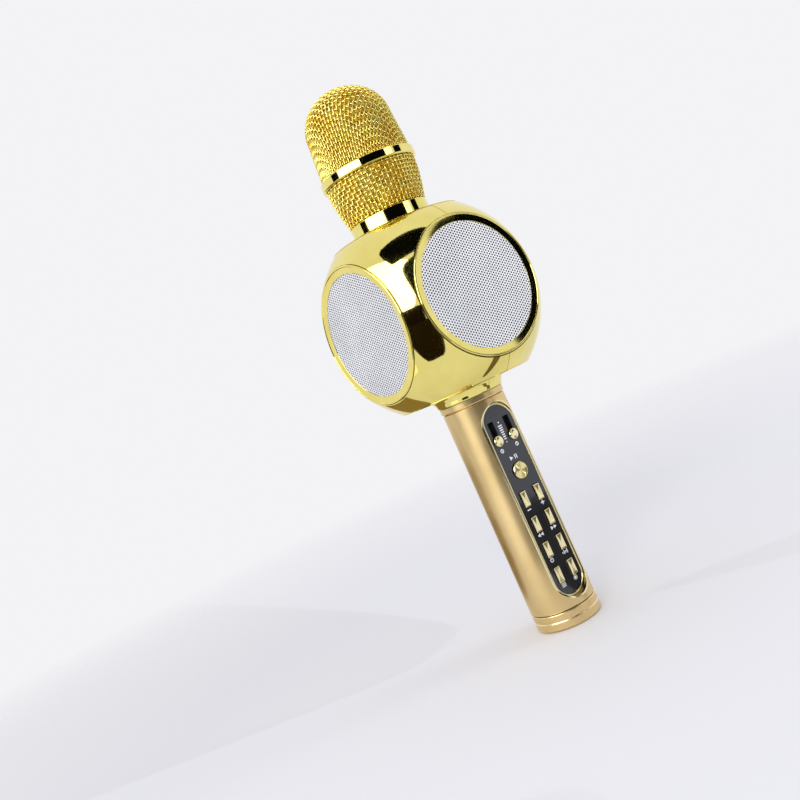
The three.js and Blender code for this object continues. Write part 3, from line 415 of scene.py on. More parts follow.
def head_half(name, side, node_name):
    """Half of the ball: a sphere from its disc edges to its crown and chin, then bores, neck and ports.

    Each column of the sphere runs evenly in elevation from where the skin starts to the crown or the chin.
    The seam's lip is the last column drawn towards the ball's centre. The left half mirrors the right one.
    """
    azimuth, start = half_columns()
    t = np.linspace(0, 1, 30)[None, :]
    a = azimuth[:, None]

    def skin(limit, sign, line):
        """Columns of the sphere up (sign 1) or down (-1) to a limit, then a turned line, between two lips."""
        elevation = start[:, None] * sign * (1 - t) + limit * t
        ones = np.ones((len(azimuth), 1))
        r = np.concatenate([BALL_R * np.cos(elevation), ones * line[None, :, 0]], 1)
        z = np.concatenate([BALL_Z + BALL_R * np.sin(elevation), ones * line[None, :, 1]], 1)
        points = np.stack([r * np.sin(a), -r * np.cos(a), z], -1)
        points[..., 0] = np.maximum(points[..., 0], SEAM)
        centre = np.array([0, 0, BALL_Z])
        lips = [centre + (column - centre) * (1 - LIP / BALL_R) for column in (points[:1], points[-1:])]
        for lip in lips:
            lip[..., 0] = SEAM
        return grid(np.concatenate([lips[0], points, lips[1]]))

    crown_edge = BALL_R * math.cos(SKIN_TOP)
    crown = soften([[crown_edge + 0.2, CROWN_Z - 0.4], [crown_edge - 0.5, CROWN_Z], [CROWN_BORE, CROWN_Z],
                    [CROWN_BORE, CROWN_Z - WALL]], 0.5, closed=False)
    chin_edge = BALL_R * math.cos(SKIN_LOW)
    neck = soften([[chin_edge + 0.1, CHIN_Z + 0.35], [chin_edge - 0.4, CHIN_Z], [19.3, CHIN_Z],
                   [18.2, CHIN_Z - 0.9], [17.1, NECK_Z + 2.0], [16.6, NECK_Z + 0.4], [16.3, NECK_Z],
                   [NECK_BORE, NECK_Z], [NECK_BORE, CHIN_Z + WALL]], 0.5, closed=False)
    seat = RING_BACK - 0.1
    port = soften([[DISC_R, FLAT], [POCKET_R, FLAT], [POCKET_R, seat], [PORT_R, seat], [PORT_R, seat - 2]],
                  0.05, closed=False)
    blocks = [skin(SKIN_TOP, 1, crown), skin(SKIN_LOW, -1, neck)]
    for quarter, start_turn, end_turn in ((0, -0.5, 0.5), (1, 0, 2), (2, 0.5, 1.5)):
        steps = int((end_turn - start_turn) * EDGE_STEPS)
        sweep = (start_turn * math.pi, end_turn * math.pi)
        blocks.append(lathe(port, steps, closed=False, place=facing(quarter), sweep=sweep))
    if side < 0:
        blocks = [(points * np.array([-1, 1, 1]), quads) for points, quads in blocks]
    return make_piece(name, blocks, GOLD_MIRROR, BODY, [node_name], crease=32)


head_half("ball_half_right", 1, "head_shell_right")
head_half("ball_half_left", -1, "head_shell_left")


# -------------------------------------------- trim rings and punched grilles
SIDES = ["front", "right", "back", "left"]
SHELF_R, SHELF = 31.2, 39.5  # where a trim ring's lip rests on its sheet: radius, and distance from the axis
# A rim, a step down and a long slope to the bore, over a ledge that holds the sheet.
RING_LINE = soften([[SHELF_R, RING_BACK], [RING_R, RING_BACK], [RING_R, RING_CREST - 0.3],
                    [RING_R - 0.3, RING_CREST], [RING_R - 0.75, RING_CREST],
                    [RING_R - 0.95, RING_CREST - 0.35], [RING_BORE, SHELF + 0.1], [RING_BORE - 0.1, SHELF],
                    [SHELF_R, SHELF]], 0.16)

HOLE_PITCH = 1.4  # between neighbouring holes, a little coarser than life so that they show
HOLE_R = 0.53
SHEET = 0.25  # thickness of a punched sheet
SHEET_R = 30.6


def punched_disc(radius, face, thick):
    """A disc of hexagonal cells, each a flat hexagon round a six-sided hole, with walls through the sheet.

    Cells stand in upright rows, sqrt(3)/2 pitches apart, each half a pitch higher than the one before.
    """
    reach = int(radius / HOLE_PITCH) + 2
    i, j = np.meshgrid(np.arange(-2 * reach, 2 * reach), np.arange(-2 * reach, 2 * reach))
    centres = np.stack([HOLE_PITCH * math.sqrt(0.75) * j, HOLE_PITCH * (i + 0.5 * j)], -1).reshape(-1, 2)
    centres = centres[np.linalg.norm(centres, axis=1) < radius]
    angle = np.arange(6) * math.pi / 3
    ring = np.stack([np.cos(angle), np.sin(angle)], -1)
    outer = centres[:, None] + ring * (HOLE_PITCH / math.sqrt(3))
    hole = centres[:, None] + ring * HOLE_R
    levels = [(outer, face), (hole, face), (hole, face - thick), (outer, face - thick)]
    loops = np.stack([np.concatenate([p, np.full(p.shape[:2] + (1,), z)], -1) for p, z in levels], 1)
    k = np.arange(6)
    k1 = (k + 1) % 6
    rows = np.arange(3)[:, None] * 6
    cell = np.stack([rows + k, rows + k1, rows + 6 + k1, rows + 6 + k], -1).reshape(-1, 4)
    quads = cell[None] + (np.arange(len(centres)) * 24)[:, None, None]
    return loops, quads


SHADE_SHEET_LINE = [[0.0, SHEET_FACE - 0.5], [SHEET_R, SHEET_FACE - 0.5], [SHEET_R, SHEET_FACE - 0.35],
              [0.0, SHEET_FACE - 0.35]]
for quarter, side in enumerate(SIDES):
    move = facing(quarter)
    make_piece(f"trim_ring_{side}_fine", [lathe(RING_LINE, 144, place=move)], GOLD_MIRROR, BODY,
               [f"trim_ring_{side}"], crease=50)
    points, quads = punched_disc(SHEET_R, SHEET_FACE, SHEET)
    make_piece(f"punched_grille_{side}", [(move(points), quads)], PERFORATED, BODY,
               [f"side_grille_{side}"], crease=30)
    # Painted shade: a near-black sheet just behind each punched sheet keeps its holes dark.
    make_piece(f"hole_shade_sheet_{side}", [lathe(SHADE_SHEET_LINE, 96, place=move)], SHADE_SHEET, BODY,
               crease=50)


# ------------------------------------------------------------ tube and base
def tube_radius(z):
    """Radius of the tube's taper at a height, on a straight line from foot to top."""
    return TUBE_R_LOW + (TUBE_R_HIGH - TUBE_R_LOW) * (z - TUBE_LOW) / (TUBE_HIGH - TUBE_LOW)


CHAMFER, CHAMFER_DEPTH = 0.6, 0.2  # of the bright edge round the window
FRONT_STEPS, SIDE_STEPS, HOLE_STEPS = 48, 32, 24  # columns over the window, each side and the charging hole
TUBE_START, TUBE_END = TUBE_LOW + TUBE_EDGE, TUBE_HIGH - TUBE_EDGE
# Heights shared by all columns: ends of the window's straight part and the hole's middle are among them.
ROWS = np.concatenate([
    np.linspace(TUBE_START, PANEL_Z - STRAIGHT, 8),
    np.linspace(PANEL_Z - STRAIGHT, CHARGE_Z, 26)[1:],
    np.linspace(CHARGE_Z, PANEL_Z + STRAIGHT, 4)[1:],
    np.linspace(PANEL_Z + STRAIGHT, TUBE_END, 8)[1:],
])


def window_half(x, w):
    """Half the window's length at x: its straight part and a half circle of radius w at each end."""
    return STRAIGHT + np.sqrt(np.maximum(w**2 - x**2, 0))


def hole_half(x):
    """Half the charging hole's height at x: level in the middle, a half circle at each end."""
    past = np.maximum(np.abs(x) - (CHARGE_W - CHARGE_H), 0)
    return np.sqrt(np.maximum(CHARGE_H**2 - past**2, 0))


def on_tube(x, z, inset, side):
    """Point of the tube's wall at (x, z), in front (side -1) or behind (side 1), set in from the surface."""
    y = side * np.sqrt((tube_radius(z) - inset) ** 2 - x**2)
    return np.stack(np.broadcast_arrays(x, y, z), -1)


def stretched(rows, low, high):
    """Rows from one height to another, spaced as the given rows are, for each column's own low or high."""
    share = (rows - rows[0]) / (rows[-1] - rows[0])
    return low + (high - low) * share[None, :]


def tube_skin(inset, w, low, high):
    """The tube's wall at one depth: columns of fixed x over the window and the hole, turned columns between.

    The columns over an opening stop at its edge, below it and above it.
    """
    rows = ROWS.copy()
    rows[0], rows[-1] = low, high
    x = (w * np.cos(np.linspace(math.pi, 0, FRONT_STEPS + 1)))[:, None]
    reach = window_half(x, w)
    below, above = rows[rows <= PANEL_Z - STRAIGHT + 1e-6], rows[rows >= PANEL_Z + STRAIGHT - 1e-6]
    front = [grid(on_tube(x, stretched(below, low, PANEL_Z - reach), inset, -1)),
             grid(on_tube(x, stretched(above, PANEL_Z + reach, high), inset, -1))]
    x = (CHARGE_W * np.cos(np.linspace(math.pi, 0, HOLE_STEPS + 1)))[:, None]
    reach = hole_half(x)
    below, above = rows[rows <= CHARGE_Z + 1e-6], rows[rows >= CHARGE_Z - 1e-6]
    back = [grid(on_tube(x, stretched(below, low, CHARGE_Z - reach), inset, 1)),
            grid(on_tube(x, stretched(above, CHARGE_Z + reach, high), inset, 1))]
    sides = [grid(side_columns(tube_radius(rows) - inset, rows, w, hand)) for hand in (-1, 1)]
    return front + back + sides


def side_columns(r, z, w, hand):
    """Columns round one side of the tube, from the window's edge to the hole's, evenly spaced in angle."""
    start, end = np.arcsin(w / r), math.pi - np.arcsin(CHARGE_W / r)
    angle = start + (end - start) * np.linspace(0, 1, SIDE_STEPS + 1)[:, None]
    return np.stack(np.broadcast_arrays(hand * r * np.sin(angle), -r * np.cos(angle), z), -1)


def tube_end(profile):
    """One end of the tube: (radius, height, half window width) points carried round all of its columns."""
    r, z, w = np.asarray(profile, float).T
    x = w[None, :] * np.cos(np.linspace(math.pi, 0, FRONT_STEPS + 1))[:, None]
    front = np.stack(np.broadcast_arrays(x, -np.sqrt(r**2 - x**2), z), -1)
    x = CHARGE_W * np.cos(np.linspace(math.pi, 0, HOLE_STEPS + 1))[:, None] + 0 * r
    back = np.stack(np.broadcast_arrays(x, np.sqrt(r**2 - x**2), z), -1)
    return [grid(front), grid(back)] + [grid(side_columns(r, z, w, hand)) for hand in (-1, 1)]


def window_outline(w, inset, deeper=0.0):
    """Closed loop round the window on the tube's wall, following the wall's own columns and rows."""
    psi = np.linspace(math.pi, 0, FRONT_STEPS + 1)
    x, rows = w * np.cos(psi), ROWS[(ROWS > PANEL_Z - STRAIGHT + 1e-6) & (ROWS < PANEL_Z + STRAIGHT - 1e-6)]
    reach = window_half(x, w)
    xs = np.concatenate([x, 0 * rows + w, x[::-1], 0 * rows - w])
    zs = np.concatenate([PANEL_Z - reach, rows, PANEL_Z + reach[::-1], rows[::-1]])
    return on_tube(xs, zs, inset, -1) + np.array([0, deeper, 0])


def window_wall():
    """From the polished chamfer round the window through the wall's thickness to the tube's inside."""
    inner = window_outline(WINDOW_W, TUBE_WALL)
    outer = window_outline(WINDOW_W + CHAMFER, 0)
    edge = window_outline(WINDOW_W, 0, CHAMFER_DEPTH)
    loops = [outer, outer * 0.9 + edge * 0.1, outer * 0.1 + edge * 0.9, edge, edge * 0.9 + inner * 0.1, inner]
    return grid(np.stack(loops), wrap_v=True)


def hole_wall():
    """The charging hole's edge carried through the wall: its outline at three depths."""
    x = CHARGE_W * np.cos(np.linspace(math.pi, 0, HOLE_STEPS + 1))
    xs = np.concatenate([x, x[::-1][1:-1]])
    zs = CHARGE_Z + np.concatenate([-hole_half(x), hole_half(x)[::-1][1:-1]])
    return grid(np.stack([on_tube(xs, zs, inset, 1) for inset in (0, 0.1, TUBE_WALL)]), wrap_v=True)


def handle_blocks():
    """The whole tube: outer and inner wall, its two ends with their chamfers, and the charging hole."""
    outer, inner = WINDOW_W + CHAMFER, WINDOW_W
    r_low, r_high = tube_radius(TUBE_LOW), tube_radius(TUBE_HIGH)
    foot = [(r_low - TUBE_WALL, TUBE_LOW, inner), (r_low - TUBE_EDGE, TUBE_LOW, outer),
            (r_low - 0.35, TUBE_LOW + 0.03, outer),
            (tube_radius(TUBE_START) - 0.04, TUBE_START - 0.05, outer),
            (tube_radius(TUBE_START), TUBE_START, outer)]
    top = [(r_high - TUBE_WALL, TUBE_HIGH, inner), (r_high - TUBE_EDGE, TUBE_HIGH, outer),
           (r_high - 0.35, TUBE_HIGH - 0.03, outer), (tube_radius(TUBE_END) - 0.04, TUBE_END + 0.05, outer),
           (tube_radius(TUBE_END), TUBE_END, outer)]
    blocks = tube_skin(0, outer, TUBE_START, TUBE_END) + tube_skin(TUBE_WALL, inner, TUBE_LOW, TUBE_HIGH)
    return blocks + tube_end(foot) + tube_end(top) + [hole_wall()]


make_piece("handle_tube_fine", handle_blocks(), GOLD_SATIN, BODY,
           ["handle_tube"], crease=30, bright=(GOLD_CUT, [(0, 9.02), (112.18, 200)]))
make_piece("window_bright_edge", [window_wall()], GOLD_KEY, BODY, crease=40)

# A foot with a groove near its top, and a hollow spigot that goes up into the tube.
BASE_LINE = soften([[0, 0], [15.2, 0], [16.2, 1.0], [16.2, 4.2], [15.8, 4.65], [16.2, 5.1], [16.2, 7.9],
                    [15.8, 8.3], [13.8, 8.3], [13.8, 11], [12, 11], [12, 3], [0, 3]], 0.14)
make_piece("base_cap_fine", [lathe(BASE_LINE, 160)], GOLD_SATIN, BODY,
           ["base_cap"], crease=60, bright=(GOLD_CUT, [(4.22, 5.08), (7.92, 8.4)]))
# A spigot into the tube, a flange with a bright chamfer, a neck and a flange that the ball sits on.
COLLAR_LINE = soften([[11.5, COLLAR_LOW], [13.8, COLLAR_LOW], [13.8, 112.9], [15.55, 112.9], [15.95, 113.3],
                      [15.95, 115.8], [13.7, 115.8], [13.7, 123.6], [16.6, 123.6], [16.6, 125.4],
                      [11.5, 125.4]], 0.1)
make_piece("neck_collar_fine", [lathe(COLLAR_LINE, 160)], GOLD_SATIN, BODY,
           ["neck_collar"], crease=60, bright=(GOLD_CUT, [(112.9, 113.28)]))


# ---------------------------------------------------------- panel and keys
RIM_W, RIM_R, RIM_FORWARD = 9.06, 0.36, 11.92  # half width, roundness and place of the panel's bright rim


def rim_rows():
    """A half circle across the rim, with a skirt on each side that goes back behind the panel."""
    turn = np.linspace(0, math.pi, 9)
    crest = zip(RIM_W + RIM_R * np.cos(turn), RIM_FORWARD + RIM_R * np.sin(turn))
    rows = [(RIM_W + RIM_R, 11.2), *crest, (RIM_W - RIM_R, 11.0)]
    return [(w, STRAIGHT + w, y) for w, y in rows]


make_piece("panel_bright_rim", [panel_loops(rim_rows(), lambda w, l: w, (0, PANEL_Z), 40)], GOLD_KEY, BODY,
           crease=50)


KEY_LIP = 0.6  # how far the hidden lip behind the panel reaches past the key
KEY_EDGE = 0.3  # rounding of a key's rim
KEY_DISH = 0.42  # depth of a key's middle below its rim
KEY_WALL = 1.6  # height of a key's side wall


def key_block(name):
    """A key as loops round it: a wall, a quarter-round rim, then four flats that fall to the middle."""
    low, high = box_mm(name)
    centre, half = (low + high) / 2, (high - low) / 2 - KEY_LIP
    half_w, half_l, top = half[0], half[2], -low[1]
    turn = np.linspace(0, math.pi / 2, 6)
    inset = np.concatenate([[half_w, 0.0], KEY_EDGE * (1 - np.cos(turn))])
    depth = np.concatenate([[KEY_WALL, KEY_WALL], KEY_EDGE * (1 - np.sin(turn))])
    share = np.linspace(1, 0, 6)[1:]
    rows = [(half_w - i, half_l - i, d) for i, d in zip(inset, depth)]
    rows += [((half_w - KEY_EDGE) * f, (half_l - KEY_EDGE) * f, KEY_DISH * (1 - f)) for f in share]
    rows = [(w, length, top - d) for w, length, d in rows]
    return panel_loops(rows, lambda w, length: min(0.35, w / 2), (centre[0], centre[2]), 6)


KEYS = sorted(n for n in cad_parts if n.startswith(("key_left", "key_right")))
for name in KEYS:
    make_piece(f"{name}_cap", [key_block(name)], GOLD_KEY, name, [name], crease=20)

ROUND_MIN, ROUND_MAX = box_mm("key_round")
ROUND_Z, ROUND_TOP = (ROUND_MIN[2] + ROUND_MAX[2]) / 2, -ROUND_MIN[1]
ROUND_R = (ROUND_MAX[0] - ROUND_MIN[0]) / 2 - KEY_LIP
# Spacing and depth of the rings turned in its face, coarser than life so that they show.
GROOVE, GROOVE_DEPTH = 0.5, 0.08
turned = [[r, ROUND_TOP - 0.1 - GROOVE_DEPTH * (k % 2)]
          for k, r in enumerate(np.arange(ROUND_R - 0.7, 0.1, -GROOVE / 2))]
round_rim = soften([[0.0, ROUND_TOP - 2.4], [ROUND_R, ROUND_TOP - 2.4], [ROUND_R, ROUND_TOP - 0.4],
                    [ROUND_R - 0.35, ROUND_TOP], [ROUND_R - 0.6, ROUND_TOP]], 0.12, closed=False)
ROUND_LINE = np.concatenate([round_rim, turned, [[0.0, ROUND_TOP - 0.1]]])
make_piece("key_round_cap", [lathe(ROUND_LINE, 96, closed=False, place=at_panel(0, ROUND_Z))], GOLD_SPUN,
           "key_round", ["key_round"], crease=30)
for side in ("left", "right"):
    low, high = box_mm(f"slider_knob_{side}")
    x, _, z = middle_mm(f"slider_knob_{side}")
    r, top = (high[0] - low[0]) / 2, -low[1]
    # A stem through the slot, then a round cap with a slightly domed top.
    knob = soften([[0.0, top - 4.0], [1.3, top - 4.0], [1.3, top - 1.35], [r, top - 1.35], [r, top - 0.6],
                   [r - 0.4, top - 0.2], [1.2, top - 0.02], [0.0, top]], 0.15, closed=False)
    make_piece(f"slider_knob_{side}_cap", [lathe(knob, 64, closed=False, place=at_panel(x, z))], GOLD_KEY,
               f"slider_knob_{side}", [f"slider_knob_{side}"], crease=60)


# ------------------------------------------------------------ printed marks
INK_LIFT = 0.04  # of the printed ink over the panel's face
LEGEND = 1.2  # size of the printed icons against their drawing


def flat_quads(quads):
    """Quads given as four (x, z) corners each, laid on the face of the panel."""
    quads = np.asarray(quads, float)
    depth = np.full(quads.shape[:2] + (1,), -(PANEL_FRONT + INK_LIFT))
    points = np.concatenate([quads[..., :1], depth, quads[..., 1:]], -1)
    return points, np.arange(len(quads) * 4).reshape(-1, 4)


def bar(x, z, w, h):
    """A rectangle w wide and h high about (x, z)."""
    return [(x - w / 2, z - h / 2), (x + w / 2, z - h / 2), (x + w / 2, z + h / 2), (x - w / 2, z + h / 2)]


def arrow(x, z, w, h, way=1):
    """A triangle that points right, or left for way -1, as a quad with two corners at its tip."""
    foot, tip = x - way * w / 2, x + way * w / 2
    return [(foot, z - h / 2), (tip, z), (tip, z), (foot, z + h / 2)]


def disc(x, z, r, hole=0.0, steps=20):
    """A round dot, or a ring where it has a hole, as quads between two circles."""
    angle = np.linspace(0, 2 * math.pi, steps + 1)
    ring = np.stack([np.cos(angle), np.sin(angle)], -1)
    inner, outer = np.array([x, z]) + hole * ring, np.array([x, z]) + r * ring
    return list(np.stack([inner[:-1], outer[:-1], outer[1:], inner[1:]], 1))


def icon(x, z, quads):
    """Quads drawn about the origin, enlarged and moved to a place on the panel."""
    return [[(x + LEGEND * a, z + LEGEND * b) for a, b in quad] for quad in quads]


def marks():
    """Plain bars, dots, rings and arrows by the controls; none of them is a letter."""
    quads = []
    for side in ("left", "right"):
        x, _, z = middle_mm(f"slider_knob_{side}")
        quads += icon(x, z - 4.9, disc(0, 0, 0.85, 0.55) + [bar(0, 0, 0.28, 0.9)])
    top = z + 6.1  # of the tapering scale between the two sliders
    quads += [bar(-0.15, top - 1.08 * k, 2.5 - 0.17 * k, 0.6) for k in range(7)]
    quads += disc(-0.15, top + 1.7, 0.4) + disc(-0.15, top - 8.1, 0.3)
    quads += icon(0, ROUND_Z + 6.8, [arrow(-1.3, 0, 1.6, 1.8)] + [bar(d, 0, 0.45, 1.8) for d in (0.5, 1.4)])
    back = [arrow(-0.8, 0, 1.5, 1.6, -1), arrow(0.8, 0, 1.5, 1.6, -1)]
    ahead = [arrow(-0.8, 0, 1.5, 1.6), arrow(0.8, 0, 1.5, 1.6)]
    steps = [bar(d, 0, 0.4, h) for d, h in ((-1.2, 0.7), (-0.4, 1.5), (0.4, 1.0), (1.2, 1.8))]
    icons = {
        "key_left_1": [bar(0, 0, 1.9, 0.45)],
        "key_right_1": [bar(0, 0, 1.9, 0.45), bar(0, 0, 0.45, 1.9)],
        "key_left_2": back,
        "key_right_2": ahead,
        "key_left_3": disc(0, 0, 0.9, 0.6) + [bar(0, 0.55, 0.35, 1.2)],
        "key_right_3": steps,
        "key_left_4": [bar(0, d, 2.2, 0.35) for d in (-0.65, 0, 0.65)],
        "key_right_4": disc(0, 0, 0.5) + disc(0, 0, 0.95, 0.75),
    }
    for name, drawn in icons.items():
        x, _, z = middle_mm(name)
        inward = math.copysign(0.5, -x) if z < 30 else 0.0  # by the lowest keys, where the window closes in
        quads += icon(x + inward, z - 5.4, drawn)
    return flat_quads(quads)


def thicken(piece, mm):
    """Gives a sheet its wall, inward from its face."""
    wall = piece.modifiers.new("wall", "SOLIDIFY")
    wall.thickness, wall.offset = mm * MM, -1.0


thicken(make_piece("printed_marks", [marks()], INK, BODY), 0.03)


# ------------------------------------------------------------- wire grille
def tube_rings(centre, normal, radius, sides=6, closed=False):
    """Round wire along a line of points, its section turned with the surface it lies on."""
    ahead = np.roll(centre, -1, 0) - np.roll(centre, 1, 0)
    if not closed:
        ahead[0], ahead[-1] = centre[1] - centre[0], centre[-1] - centre[-2]
    ahead /= np.linalg.norm(ahead, axis=1)[:, None]
    across = np.cross(ahead, normal)
    across /= np.linalg.norm(across, axis=1)[:, None]
    up = np.cross(across, ahead)
    angle = (np.arange(sides) + 0.5) * 2 * math.pi / sides
    size = np.full(len(centre), radius)
    if not closed:
        size[[0, -1]] = 0.0  # the ends close to a point
    turn_across, turn_up = np.cos(angle)[None, :, None], np.sin(angle)[None, :, None]
    ring = centre[:, None] + size[:, None, None] * (turn_across * across[:, None] + turn_up * up[:, None])
    return grid(ring, wrap_u=closed, wrap_v=True)


WIRE_R = 0.36  # of wire about 0.7 mm thick
CRIMP = 0.3  # how far a wire swings in and out as it passes over and under
BASKET_LOW, BASKET_HIGH = GRILLE_COLLAR_HIGH, BAND_LOW
BASKET_R_LOW, BASKET_R_HIGH = 19.4, 22.7
UPRIGHTS, RINGS = 64, 11  # wires of the lower basket
SHOULDER_Z, SHOULDER_R, SKIRT_R = 256.0, 21.4, 22.8  # where the dome's ellipse ends, and the foot of its cone
DOME_PITCH = 2.2  # between neighbouring wires of the dome


def lower_radius(z):
    """Radius of the lower basket at a height: a quarter sine from the collar out to the band."""
    share = (z - BASKET_LOW) / (BASKET_HIGH - BASKET_LOW)
    return BASKET_R_LOW + (BASKET_R_HIGH - BASKET_R_LOW) * np.sin(np.clip(share, 0, 1) * math.pi / 2)


def lower_slope(z, step=0.01):
    """Growth of that radius with height, from the radius a small step above and below."""
    return (lower_radius(z + step) - lower_radius(z - step)) / (2 * step)


def lower_weave():
    """Plain weave round a swelling cone: rings and uprights, each swinging over one wire and under the next.

    A wire's swing is a cosine along it, half a turn apart from one wire to the next, square to the surface.
    """
    blocks = []
    low, high = BASKET_LOW - 0.2, BASKET_HIGH + 0.3
    pitch = (high - low) / RINGS
    inset = WIRE_R + CRIMP
    for k in range(RINGS):
        z = low + (k + 0.5) * pitch
        angle = np.linspace(0, 2 * math.pi, UPRIGHTS * 4, endpoint=False)
        phase = angle * UPRIGHTS / 2 + k * math.pi
        lean = np.array([math.cos(math.atan(lower_slope(z))), -math.sin(math.atan(lower_slope(z)))])
        r = lower_radius(z) - inset + CRIMP * np.cos(phase) * lean[0]
        up = z + CRIMP * np.cos(phase) * lean[1]
        centre = np.stack([r * np.cos(angle), r * np.sin(angle), up], -1)
        normal = np.stack([np.cos(angle) * lean[0], np.sin(angle) * lean[0], 0 * angle + lean[1]], -1)
        blocks.append(tube_rings(centre, normal, WIRE_R, closed=True))
    z = np.linspace(low, high, RINGS * 4 + 1)
    s = np.arctan(lower_slope(z))
    for m in range(UPRIGHTS):
        a = 2 * math.pi * m / UPRIGHTS
        swing = -CRIMP * np.cos((z - low) / pitch * math.pi - math.pi / 2 + m * math.pi)
        r = lower_radius(z) - inset + swing * np.cos(s)
        centre = np.stack([r * math.cos(a), r * math.sin(a), z - swing * np.sin(s)], -1)
        normal = np.stack([np.cos(s) * math.cos(a), np.cos(s) * math.sin(a), -np.sin(s)], -1)
        blocks.append(tube_rings(centre, normal, WIRE_R))
    return blocks


def dome_profile():
    """The dome's outline from the crown down: a quarter ellipse, then a cone out to the band.

    Gives arc length, radius, height and the two parts of the outward normal at each point.
    """
    angle = np.linspace(math.pi / 2, 0, 160)
    cone = [np.linspace(*ends, 60)[1:] for ends in ((SHOULDER_R, SKIRT_R), (SHOULDER_Z, BAND_HIGH - 0.2))]
    r = np.concatenate([SHOULDER_R * np.cos(angle), cone[0]])
    z = np.concatenate([SHOULDER_Z + (DOME_TOP - SHOULDER_Z) * np.sin(angle), cone[1]])
    dr, dz = np.gradient(r), np.gradient(z)
    s = np.concatenate([[0], np.cumsum(np.hypot(np.diff(r), np.diff(z)))])
    size = np.hypot(dr, dz)
    return s, r, z, -dz / size, dr / size


def upper_weave():
    """A flat square weave pressed over the dome: a wire point's distance from the weave's middle becomes arc
    length from the crown, and its direction becomes azimuth. Its swing is a cosine square to the surface.
    """
    s, r, z, nr, nz = dome_profile()
    pull = 0.0018  # the sheet stretches along the axis as it is drawn down
    flat = s * (1 - pull * s)
    edge = flat[-1]
    inset = WIRE_R + CRIMP
    blocks = []
    count = int(edge / DOME_PITCH)
    for family in (0, 1):
        for k in range(-count, count + 1):
            offset = k * DOME_PITCH
            half = math.sqrt(max(edge**2 - offset**2, 0))
            if half < 2:
                continue
            along = np.linspace(-half, half, max(8, int(2 * half / 0.6)))
            u, v = (along, 0 * along + offset) if family == 0 else (0 * along + offset, along)
            rho, azimuth = np.hypot(u, v), np.arctan2(v, u) + 0.5
            here = [np.interp(rho, flat, table) for table in (r, z, nr, nz)]
            sign = 1 if family == 0 else -1
            swing = sign * CRIMP * np.cos(along / DOME_PITCH * math.pi + k * math.pi) - inset
            radius, height = here[0] + swing * here[2], here[1] + swing * here[3]
            centre = np.stack([radius * np.cos(azimuth), radius * np.sin(azimuth), height], -1)
            normal = np.stack([here[2] * np.cos(azimuth), here[2] * np.sin(azimuth), here[3]], -1)
            blocks.append(tube_rings(centre, normal, WIRE_R, sides=5))
    return blocks


for name, wires, node_name in (("woven_lower_basket", lower_weave(), "grille_lower_mesh"),
                               ("woven_upper_dome", upper_weave(), "grille_upper_mesh")):
    make_piece(name, wires, GOLD_WIRE, GRILLE, [node_name], crease=80)

GAUZE_INSET = 1.35  # from the outside of the wire to the gauze
FOAM_GAP, FOAM_WALL, FOAM_CROWN = 0.35, 2.2, 2.0  # gap to the gauze, and the foam's thickness at side and top
FOAM_FOOT = 211.2


def gauze_line():
    """The outline of dome and basket moved inward: along the normal on the dome, level on the basket."""
    _, r, z, nr, nz = dome_profile()
    dome = np.stack([np.maximum(r - GAUZE_INSET * nr, 0), z - GAUZE_INSET * nz], -1)[::6]
    low = np.linspace(BASKET_HIGH + 0.1, BASKET_LOW + 0.2, 10)
    return np.concatenate([dome, np.stack([lower_radius(low) - GAUZE_INSET, low], -1)])


thicken(make_piece("gold_gauze", [lathe(gauze_line(), 96, closed=False)], GOLD_GAUZE, GRILLE,
                   crease=80), 0.15)


def foam_line():
    """The gauze's outline moved in for the foam's outside, and back down again further in for its inside."""
    outer = gauze_line() - np.array([FOAM_GAP, FOAM_GAP])
    outer[:, 0] = np.maximum(outer[:, 0], 0)
    inner = outer[::-1] - np.array([FOAM_WALL, FOAM_CROWN])
    inner[:, 0] = np.maximum(inner[:, 0], 0)
    inner[:, 1] = np.maximum(inner[:, 1], FOAM_FOOT)
    return np.concatenate([outer, inner])


foam = make_piece("foam_liner", [lathe(foam_line(), 64, closed=False)], FOAM, GRILLE,
                  ["foam_windscreen"], crease=80)

b0, b1 = BAND_LOW, BAND_HIGH
BAND_LINE = soften([[21.6, b0], [23.3, b0], [23.9, b0 + 0.5], [23.9, b1 - 0.5], [23.3, b1], [21.6, b1]], 0.3)
c0, c1 = GRILLE_COLLAR_LOW, GRILLE_COLLAR_HIGH
GRILLE_COLLAR_LINE = soften([[17.6, c0], [19.2, c0], [19.5, c0 + 0.3], [19.5, c1 - 0.3], [19.2, c1],
                             [17.6, c1]], 0.18)
for name, line in (("grille_band", BAND_LINE), ("grille_collar", GRILLE_COLLAR_LINE)):
    make_piece(f"{name}_fine", [lathe(line, 160)], GOLD_MIRROR, GRILLE, [name],
               crease=60)

# Threaded socket, rubber cup and capsule, seen when the grille is off.
s0, s1 = SOCKET_LOW, SOCKET_HIGH
THREADS = 4  # ridges 1 mm apart on the socket
thread = [point for z in s1 - 5 + np.arange(THREADS)
          for point in ([17.3, z], [16.95, z + 0.3], [16.95, z + 0.5], [17.3, z + 0.8])]
SOCKET_LINE = soften([[15.4, s0], [21.0, s0], [21.0, s0 + 2], [17.3, s0 + 2]] + thread
                     + [[17.3, s1], [15.4, s1]], 0.1)
CUP_LINE = soften([[4.0, 203.0], [15.1, 203.0], [15.1, 213.4], [14.5, 214.0], [12.9, 214.0], [12.9, 208.7],
                   [4.0, 208.7]], 0.3)
GROOVES = 3  # round the capsule's can, 2 mm apart
grooves = [point for z in 217.5 + 2 * np.arange(GROOVES)
           for point in ([12.6, z], [12.3, z + 0.3], [12.3, z + 0.8], [12.6, z + 1.1])]
CAPSULE_LINE = soften([[0, 209.0], [10.6, 209.0], [12.6, 211.0]] + grooves
                      + [[12.6, 224.0], [11.6, 224.0], [11.6, 227.0], [10.6, 228.0], [9.6, 227.6],
                         [0, 227.5]], 0.12)
